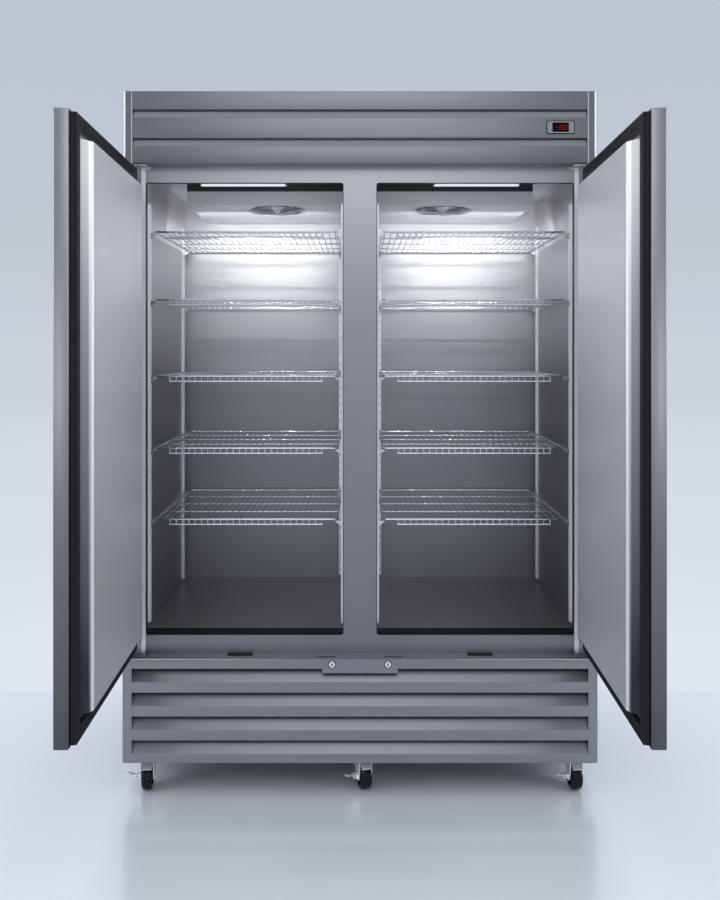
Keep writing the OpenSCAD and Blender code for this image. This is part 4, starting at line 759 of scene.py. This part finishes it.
for sg in (-1, 1):
    x0, x1 = sg * HALF_W, sg * SLOT_HALF
    strip = [(x0, SILL_Z), (x0, CASTER_H), (x1, CASTER_H), (x1, SILL_Z)]
    strip = rounded(strip, [2, GRILLE_R, 0, 0], 5, closed=True)
    grille.facing(strip if sg < 0 else strip[::-1], 0, SHEET_T)
    for z0 in slots:
        z1 = z0 + SLOT_H + VANE_RISE
        cheek = [(0, z0 - SHEET_T), (VANE_D, z1 - SHEET_T), (VANE_D, z1), (0, z0 + SLOT_H + SHEET_T)]
        grille.along_x(cheek, *sorted((sg * SLOT_HALF, sg * (SLOT_HALF + SHEET_T))))
near, far = CAM_Y + CAM_T / 2 - CAM_ROOM / 2, CAM_Y + CAM_T / 2 + CAM_ROOM / 2
inner, outer = LOCK_X - CAM_IN, LOCK_X + CAM_OUT
ledge = Solid()
ledge.plate([-INSIDE_W, INSIDE_W, -outer, -inner, inner, outer], [3.9, RECESS_D, near, far],
            [(-outer, near, -inner, far), (inner, near, outer, far)],
            lambda x, y, k: (x, y, SILL_Z - SHEET_T * (1 - k)))
fixed("grille_ledge", ledge, M["ledge_steel"], "header_steel")
fixed("grille", grille, M["grille_steel"], "header_steel", ["grille_panel"], 40)
plate = Solid()
plate.facing(rect(-LOCK_PLATE_W, SILL_Z - LOCK_PLATE_H, LOCK_PLATE_W, SILL_Z - 0.2, 0.8, 2), -SHEET_T, 0)
fixed("lock_plate", combine(plate, *lock_holes), M["grille_steel"], "header_steel", bevel=0.35)
for side, word in SIDES:
    # A thin strip along the grille's top bend that carries the painted highlight.
    lit = Solid()
    x0, x1 = sorted((side * (HALF_W - 4), side * (LOCK_PLATE_W + 2)))
    lit.along_x(rect(-0.3, SILL_Z - 1.5, 0.9, SILL_Z + 0.1, 0.5, 3), x0, x1)
    fixed(f"grille_edge_glint_{word}", lit, M["grille_bend_glint"], "header_steel")
    pad = Solid()
    pad.upright([(side * PAD_X + p, PAD_Y + q) for p, q in rect(-37, -13, 37, 13, 3)], SILL_Z, SILL_Z + 2.2)
    fixed(f"ledge_pad_{word}", pad, M["gasket"], "gasket", bevel=0.6)

    # The lock's face is a domed ring round a keyed plug; its cam is behind. A dark ring round the face and a
    # dark disc in the keyhole are painted shade.
    cx, f, back = side * LOCK_X, -SHEET_T - 0.3, CAM_Y + CAM_T + 2
    dome = [(f + y, r) for y, r in (
        (0.2, LOCK_R), (0.2, 9.7), (-1.2, 9.7), (-2.2, 9.3), (-2.9, 8.3), (-3.0, 7.4), (-2.6, 6.7),
        (-1.9, 6.3), (-1.9, 5.9), (-2.5, 5.6), (-2.7, 4.4), (-2.7, 0))]
    face = Solid()
    face.lathe([(back, 0), (back, LOCK_R)] + dome, (cx, 0, LOCK_Z), (0, 1, 0), 48)
    face = combine(face, ("DIFFERENCE", rod((cx, f - 9, LOCK_Z), (cx, f - 1.2, LOCK_Z), 2.3)))
    lock_shade = Solid()
    shade_ring_line = [(f + y, r) for y, r in ((0.25, 9.75), (0.25, 11.5), (-0.6, 11.5), (-0.9, 11.1), (-0.9, 9.75))]
    lock_shade.lathe(shade_ring_line, (cx, 0, LOCK_Z), (0, 1, 0), 48)
    lock_shade.lathe([(f - 1.4, 0), (f - 1.4, 2.25), (f - 1.9, 2.25), (f - 1.9, 0)], (cx, 0, LOCK_Z), (0, 1, 0), 24)
    body = f"lock_{word}"
    piece(f"lock_shade_ring_{word}", lock_shade, at_front, body, M["dark_gap"], "plated")
    x0, x1 = sorted((cx, cx + side * CAM_L))
    face.box((x0, CAM_Y, LOCK_Z - CAM_W / 2), (x1, CAM_Y + CAM_T, LOCK_Z + CAM_W / 2))
    piece(f"lock_cylinder_{word}", face, at_front, body, M["plated"], "plated", [body], 35, bevel=0.2)


# Shelves: round wires in a round-cornered frame, bent down at the front onto a lower wire

MULLION_W, STANDARD_D, SIDE_ROOM = 97.0, 8.0, 8.0
WALL_SIDE, WALL_BACK = 50.0, 78.0
CAVITY_X, CAVITY_BACK = HALF_W - WALL_SIDE, CABINET_D - WALL_BACK
OPENING_TOP = HEADER_Z - 45.5
CEILING_Z = OPENING_TOP + 45.0
SETBACK, BACK_ROOM = 52.0, 14.0
SHELF_X0, SHELF_X1 = MULLION_W / 2 + STANDARD_D + SIDE_ROOM, CAVITY_X - STANDARD_D - SIDE_ROOM
SHELF_Y0, SHELF_D = RECESS_D + SETBACK, CAVITY_BACK - BACK_ROOM - RECESS_D - SETBACK
SHELF_Z = [1650.25, 1446.8, 1217.4, 1001.6, 788.6]
PITCH, WIRE_R, RAIL_R, BEAM_R, EDGE_H = 19.0, 1.8, 3.0, 2.4, 20.0
shelf_w = SHELF_X1 - SHELF_X0
count = int((shelf_w - 12) // PITCH)
spare = (shelf_w - count * PITCH) / 2
shelves = Solid()
for side in (-1, 1):
    for z in SHELF_Z:
        def at(x, y, dz):
            return (side * (SHELF_X1 - x), SHELF_Y0 + y, z + dz)
        frame_line = rect(RAIL_R, RAIL_R, shelf_w - RAIL_R, SHELF_D - RAIL_R, 10, 4)
        shelves.tube([at(p, q, -RAIL_R) for p, q in frame_line], RAIL_R, 10, closed=True)
        for k in range(1, 4):
            y = k * SHELF_D / 4 + 3
            shelves.tube([at(RAIL_R, y, -5.4), at(shelf_w - RAIL_R, y, -5.4)], BEAM_R, 8)
        for k in range(count + 1):
            x = spare + k * PITCH
            far = (SHELF_D - 3, -WIRE_R)
            if 2 <= k <= count - 2:
                bent = rounded([far, (WIRE_R, -WIRE_R), (WIRE_R, -EDGE_H + 2)], [0, 4, 0], 3)
            else:
                bent = [far, (3, -WIRE_R)]
            shelves.tube([at(x, q, dz) for q, dz in bent], WIRE_R, 8)
        x0, x1 = spare + 2 * PITCH - 2, spare + (count - 2) * PITCH + 2
        shelves.tube([at(x, WIRE_R, -EDGE_H + 2) for x in (x0, x1)], BEAM_R, 8)
        shelves.tube([at(x, WIRE_R + 3.4, -4.6) for x in (x0 - PITCH, x1 + PITCH)], BEAM_R, 8)
fixed("shelf_wires", shelves, M["wire"], "wire", ["wire_shelves"], 50)

# Guards of round wire over the evaporator fans, and the housing's screws
EVAP_FRONT, EVAP_H, FAN_X, FAN_Y = 210.0, 80, 270, 100
EVAP_Y0, EVAP_Y1, EVAP_Z = RECESS_D + EVAP_FRONT, CAVITY_BACK - 10, CEILING_Z - EVAP_H
EVAP_D = EVAP_Y1 - EVAP_Y0
RINGS, RING_STEP, SPOKES = 8, 11.0, 6
HEAD_LINE = [(0, 0), (0, 4.5), (1.1, 4.3), (2.0, 2.6), (2.2, 0)]
guards, heads = Solid(), Solid()
for side in (-1, 1):
    c = Vector((side * FAN_X, EVAP_Y0 + FAN_Y, EVAP_Z - 1.5))
    for k in range(1, RINGS + 1):
        r, z = RING_STEP * k, c[2] - 3 - 5 * (1 - k / RINGS)
        circle = [(c[0] + r * cos(a * pi / 24), c[1] + r * sin(a * pi / 24), z) for a in range(48)]
        guards.tube(circle, 1.1, 6, closed=True)
    for a in range(SPOKES):
        u = Vector((cos(a * pi / 3), sin(a * pi / 3), 0))
        guards.tube([c + u * r + Vector((0, 0, z)) for r, z in ((8, -6.5), (50, -4), (96, -0.5))], 1.3, 6)
    for x, y in ((60, 20), (500, 20), (60, EVAP_D - 20), (500, EVAP_D - 20), (280, 20)):
        heads.lathe(HEAD_LINE, (side * x, EVAP_Y0 + y, EVAP_Z), (0, 0, -1), 16)
fixed("evaporator_guards", guards, M["wire"], "wire", smooth=60)
fixed("evaporator_screws", heads, M["plated"], "plated")

# Light strips: a grey channel with caps, and the lit cover under it
LIGHT_X0, LIGHT_X1, LIGHT_Z, LIGHT_Y = 217.7, 474.7, OPENING_TOP - 4, RECESS_D + SHEET_T + 22
COVER_LINE = rounded([(LIGHT_Y + 1, LIGHT_Z + 5.5), (LIGHT_Y + 1, LIGHT_Z), (LIGHT_Y + 21, LIGHT_Z),
                      (LIGHT_Y + 21, LIGHT_Z + 5.5)], [0, 4, 4, 0], 5, closed=True)
channel, cover = Solid(), Solid()
for side in (-1, 1):
    x0, x1 = sorted((side * LIGHT_X0, side * LIGHT_X1))
    channel.along_x(rect(LIGHT_Y, LIGHT_Z + 5, LIGHT_Y + 22, LIGHT_Z + 16, 1.5), x0 + 4, x1 - 4)
    cover.along_x(COVER_LINE, x0 + 4, x1 - 4)
    for x in (x0, x1 - 4):
        channel.along_x(rect(LIGHT_Y, LIGHT_Z, LIGHT_Y + 22, LIGHT_Z + 16, 3), x, x + 4)
    for x in (x0 + 30, x1 - 30):
        channel.tube([(x, LIGHT_Y + 11, LIGHT_Z + 14), (x, LIGHT_Y + 11, CEILING_Z)], 5, 16)
fixed("light_channel", channel, M["cap_grey"], "lamp", ["light_strips"], bevel=0.4)
fixed("light_cover", cover, M["lamp"], "lamp")


# Casters

CASTER_X, CASTER_IN, TRAIL, WHEEL_R = 628.0, 94.0, 36.0, 38.0
YAWS = (4, 18, 7, 14, 25, 11)
NAMES = ("front_left", "front_middle", "front_right", "rear_left", "rear_middle", "rear_right")
LEG_X, LEG_T, NUT_T = 17.3, 2.5, 4.0
RACE_Z = CASTER_H - 9.0
CROWN_TOP = RACE_Z - 0.3
CROWN_Z = CROWN_TOP - 4
LEG_OUT = LEG_X + LEG_T
BRAKE_X, BRAKE_Z, EAR_IN = -LEG_OUT - 11, WHEEL_R + 4, 7.0
AXLE, PIN = (0, -TRAIL, WHEEL_R), (BRAKE_X, -TRAIL, BRAKE_Z)


def on_caster(n):
    c, s = cos(radians(YAWS[n])), sin(radians(YAWS[n]))
    cx, cy = (n % 3 - 1) * CASTER_X, CASTER_IN if n < 3 else CABINET_D - CASTER_IN
    return lambda p: at_front((cx + p[0] * c - p[1] * s, cy + p[0] * s + p[1] * c, p[2]))


def mirrored(outline):
    return outline + [(-a, r) for a, r in reversed(outline)]


def wheel():
    s = Solid()
    half = [(-16.8, 5.06), (-16.8, 9.0), (-16.2, 9.8), (-12.5, 10.8), (-10.4, 12.2), (-9.8, 14.0),
            (-9.6, 21.0), (-10.2, 23.4), (-12.4, 25.2), (-14.4, 27.0), (-15.0, 29.0), (-15.0, 31.0)]
    half += [(-8 - 7 * cos(radians(a)), 30.6 + 7 * sin(radians(a))) for a in (20, 40, 60, 80)]
    half += [(-6.0, 37.85), (-0.7, 38.0), (-0.5, 37.7)]
    s.lathe(mirrored(half), AXLE, (1, 0, 0), 56)
    return s


def fork(braked):
    s = Solid()
    crown = [(CROWN_Z, 6.1), (CROWN_Z, 22), (CROWN_Z + 1.2, 24.2), (CROWN_Z + 3.0, 24.2), (CROWN_TOP, 22),
             (CROWN_TOP, 6.1)]
    s.lathe(crown, (0, 0, 0), (0, 0, 1), 40)
    top = CROWN_TOP - 1
    leg = rounded([(16, top), (16, top - 10), (-TRAIL + 11.5, WHEEL_R + 6), (-TRAIL + 11.5, WHEEL_R - 11.5),
                   (-TRAIL - 11.5, WHEEL_R - 11.5), (-TRAIL - 18, WHEEL_R + 12), (-TRAIL - 20, top)],
                  [1, 12, 14, 11, 11, 18, 2], 6, closed=True)
    for x in (-LEG_OUT, LEG_X):
        s.along_x(leg, x, x + LEG_T)
    apron = [(16, top), (-TRAIL - 14, top - 4), (-TRAIL - 31, top - 19), (-TRAIL - 33.5, top - 19.5)]
    s.along_x(sheet(rounded(apron, [0, 5, 1.2, 0], 6), -2.2), -LEG_X + 1.8, LEG_X - 1.8)
    for x0, x1 in ((-LEG_OUT - 1.2, -LEG_OUT), (LEG_OUT, LEG_OUT + 1.2)):
        s.lathe([(x0, 0), (x0, 8.6), (x1, 8.6), (x1, 0)], AXLE, (1, 0, 0), 24)
    # A nut at both ends of the axle, and the axle
    for x0, x1, r, n in ((-LEG_OUT - NUT_T, -LEG_OUT - 1, 7.4, 6), (LEG_OUT + 1, LEG_OUT + NUT_T, 7.4, 6),
                         (-LEG_OUT - 3, LEG_OUT + NUT_T, 5, 20)):
        s.tube([(x0, -TRAIL, WHEEL_R), (x1, -TRAIL, WHEEL_R)], r, n)
    if braked:
        for y in (-EAR_IN - 2, EAR_IN):
            ear = [(-LEG_OUT + 0.5, BRAKE_Z + 5), (BRAKE_X - 4.5, BRAKE_Z + 5), (BRAKE_X - 4.5, BRAKE_Z - 6),
                   (-LEG_OUT + 0.5, BRAKE_Z - 6)]
            s.facing(rounded(ear, [0, 4, 4, 0], 5, closed=True), -TRAIL + y, -TRAIL + y + 2)
        s.tube([(BRAKE_X, -TRAIL - 10.4, BRAKE_Z), (BRAKE_X, -TRAIL + 10.4, BRAKE_Z)], 2.0, 16)
        for y in (-10.6, 9.2):
            cap = [(y, 2.0), (y, 3.2), (y + 0.5, 3.6), (y + 1.4, 3.6), (y + 1.4, 2.0)]
            s.lathe(cap, PIN, (0, 1, 0), 20)
    return s


def lever():
    s = Solid()
    s.lathe([(-6, 2.06), (-6, 4), (6, 4), (6, 2.06)], PIN, (0, 1, 0), 24)
    rise = radians(12)
    arm = Solid()
    pedal = [(-2, -5), (-14, -5), (-17, -9.5), (-28, -8.5), (-28, 8.5), (-17, 9.5), (-14, 5), (-2, 5)]
    arm.upright(rounded(pedal, [0, 3, 4, 6, 6, 4, 3, 0], 4, closed=True), -1.1, 1.1)
    for k in range(3):
        arm.box((-25.5 + k * 3.4, -5.5, 0.9), (-24.3 + k * 3.4, 5.5, 1.6))
    s.add([(BRAKE_X + x * cos(rise) + z * sin(rise), -TRAIL + y, BRAKE_Z - x * sin(rise) + z * cos(rise))
           for x, y, z in arm.v], arm.f)
    return s


wheel_solid, plain_fork, braked_fork, lever_solid = wheel(), fork(False), fork(True), lever()
for n, name in enumerate(NAMES):
    put = on_caster(n)
    roll, yoke = f"caster_wheel_{name}", f"caster_yoke_{name}"
    piece(f"wheel_{name}", wheel_solid, put, roll, M["wheel_rubber"], "wheel_rubber", [roll], 32)
    shape = braked_fork if n < 3 else plain_fork
    piece(f"fork_{name}", shape, put, yoke, M["caster_steel"], "plated", [yoke], 35, bevel=0.45)
    if n < 3:
        word = name.split("_")[1]
        ends, x = Solid(), -LEG_OUT - 3
        ends.tube([(BRAKE_X, -TRAIL - 10.7, BRAKE_Z), (BRAKE_X, -TRAIL - 10.3, BRAKE_Z)], 2.0, 16)
        ends.lathe([(x - 1.3, 0), (x - 1.3, 4.4), (x, 4.4), (x, 0)], AXLE, (1, 0, 0), 20)
        piece(f"brake_pin_end_{word}", ends, put, yoke, M["dark_gap"], "plated")
        body = f"brake_lever_{word}"
        tone = M["caster_steel"]
        piece(f"brake_pedal_{word}", lever_solid, put, body, tone, "plated", [body], 35, bevel=0.35)


# Floor, light and camera

def floor_material():
    """A pale floor with a soft gloss, whiter behind its edge, that takes the backdrop's tone far away."""
    m = bpy.data.materials.new("floor")
    m.use_nodes = True
    links, s = m.node_tree.links, m.node_tree.nodes["Principled BSDF"]
    node, blend = maker(m.node_tree)
    place, split, reach = node("TexCoord"), node("SeparateXYZ"), node("VectorMath", "LENGTH")
    links.new(place.outputs["Object"], split.inputs["Vector"])
    links.new(place.outputs["Object"], reach.inputs[0])
    noise = node("TexNoise", Scale=2.2, Detail=5)
    links.new(place.outputs["Object"], noise.inputs["Vector"])
    gloss = node("MapRange", To_Min=0.13, To_Max=0.2)
    links.new(noise.outputs["Fac"], gloss.inputs["Value"])
    links.new(gloss.outputs["Result"], s.inputs["Roughness"])
    s.inputs["Metallic"].default_value = 0.28
    edge = node("MapRange", From_Min=FLOOR_EDGE - 0.002, From_Max=FLOOR_EDGE + 0.002)
    links.new(split.outputs["Y"], edge.inputs["Value"])
    blend("RGBA", edge, (0.86, 0.9, 0.95, 1), (0.95, 0.96, 0.98, 1), s.inputs["Base Color"])
    far = node("MapRange", From_Min=1.6, From_Max=5.0)
    links.new(reach.outputs["Value"], far.inputs["Value"])
    rays = node("LightPath")
    seen = None
    for name in ("Is Camera Ray", "Is Glossy Ray", "Is Transmission Ray"):
        if seen:
            both = node("Math", "MAXIMUM")
            links.new(seen, both.inputs[0])
            links.new(rays.outputs[name], both.inputs[1])
            seen = both.outputs["Value"]
        else:
            seen = rays.outputs[name]
    share = node("Math", "MULTIPLY")
    links.new(seen, share.inputs[0])
    links.new(far.outputs["Result"], share.inputs[1])
    sweep, mix = node("Emission", Strength=1.0), node("MixShader")
    fade = node("MapRange", From_Min=3.0, From_Max=22.0)
    links.new(reach.outputs["Value"], fade.inputs["Value"])
    blend("RGBA", fade, (0.69, 0.735, 0.79, 1), (*HORIZON, 1), sweep.inputs["Color"])
    links.new(share.outputs["Value"], mix.inputs["Fac"])
    links.new(s.outputs["BSDF"], mix.inputs[1])
    links.new(sweep.outputs["Emission"], mix.inputs[2])
    links.new(mix.outputs["Shader"], m.node_tree.nodes["Material Output"].inputs["Surface"])
    return m


FLOOR_EDGE, FLOOR_HALF = 0.787, 60.0
HORIZON = (0.591, 0.645, 0.716)
mesh = bpy.data.meshes.new("floor")
corners = [(x * FLOOR_HALF, y * FLOOR_HALF, 0) for x, y in ((-1, -1), (1, -1), (1, 1), (-1, 1))]
mesh.from_pydata(corners, [], [(0, 1, 2, 3)])
mesh.materials.append(floor_material())
floor = bpy.data.objects.new("floor", mesh)
bpy.context.scene.collection.objects.link(floor)

# The backdrop's tone by height: the horizon is lightest
world = bpy.data.worlds.new("world")
bpy.context.scene.world = world
world.use_nodes = True
links, back = world.node_tree.links, world.node_tree.nodes["Background"]
node, _ = maker(world.node_tree)
place, split, ramp = node("TexCoord"), node("SeparateXYZ"), node("ValToRGB")
rise = node("MapRange", From_Min=-1, From_Max=1)
links.new(place.outputs["Generated"], split.inputs["Vector"])
links.new(split.outputs["Z"], rise.inputs["Value"])
links.new(rise.outputs["Result"], ramp.inputs["Fac"])
e = ramp.color_ramp.elements
e[0].position, e[0].color = 0.0, (*HORIZON, 1)
e[1].position, e[1].color = 1.0, (0.46, 0.50, 0.56, 1)
for position, color in ((0.5, HORIZON), (0.552, (0.527, 0.591, 0.651)), (0.665, (0.503, 0.565, 0.645))):
    e.new(position).color = (*color, 1)
links.new(ramp.outputs["Color"], back.inputs["Color"])
back.inputs["Strength"].default_value = 1.0


def lamp(name, place, aim, size, power, color=(1, 1, 1), spread=180):
    """A rectangular lamp at a place, turned to its aim, in metres, watts and degrees."""
    data = bpy.data.lights.new(name, "AREA")
    data.shape, data.size, data.size_y, data.energy, data.color = "RECTANGLE", size[0], size[1], power, color
    data.spread = radians(spread)
    o = bpy.data.objects.new(name, data)
    o.location = place
    o.rotation_euler = (Vector(aim) - Vector(place)).to_track_quat("-Z", "Y").to_euler()
    bpy.context.scene.collection.objects.link(o)


lamp("key", (0, -3.4, 2.8), (0, 0, 1.4), (1.9, 1.2), 14)
lamp("high", (0, -2.3, 4.3), (0, -0.4, 1.2), (3.6, 1.6), 17)
lamp("top", (0, 0.2, 5.2), (0, 0.2, 1.0), (3.6, 3.0), 70)
lamp("low", (0, -3.3, 0.2), (0, 0, 0.05), (1.2, 0.08), 0.05, spread=12)
lamp("behind", (0, 3.4, 4.8), (0, 1.3, 0), (4.0, 2.0), 75)
for side in (-1, 1):
    lamp(f"side_{side}", (side * 3.8, -1.7, 2.1), (0, 0, 1.1), (1.3, 2.4), 55)
    lamp(f"edge_{side}", (side * 1.45, -3.3, 1.2), (side * 0.6, -0.7, 1.1), (0.5, 0.9), 3.2)
    # The lit strip shines down and back, and a second lamp under the evaporator lights the back wall
    x, led = side * (LIGHT_X0 + LIGHT_X1) / 2, (0.97, 0.98, 1.0)
    strip = at_front((x, LIGHT_Y + 11, LIGHT_Z - 3))
    lamp(f"bay_{side}", strip, (strip[0], 0.62, 1.2), (0.25, 0.02), 1.2, led, 70)
    x = strip[0] * 1.07
    lamp(f"wall_{side}", (x, 0.31, 1.69), (x, 0.644, 1.7), (0.52, 0.03), 0.58, led, 150)

# The photo's view: level, straight on, with the horizon above the middle
EYE_BACK, EYE_Z = 2717.6, 1293.0
camera = bpy.data.objects.new("camera", bpy.data.cameras.new("camera"))
camera.data.lens, camera.data.sensor_width = 37.64, 36.0
camera.data.shift_y = -0.111
camera.location = at_front((0, -EYE_BACK, EYE_Z))
camera.rotation_euler = (pi / 2, 0, 0)
camera.data.clip_start, camera.data.clip_end = 0.05, 60
bpy.context.scene.collection.objects.link(camera)
bpy.context.scene.camera = camera
bpy.context.scene.view_settings.view_transform = "Standard"
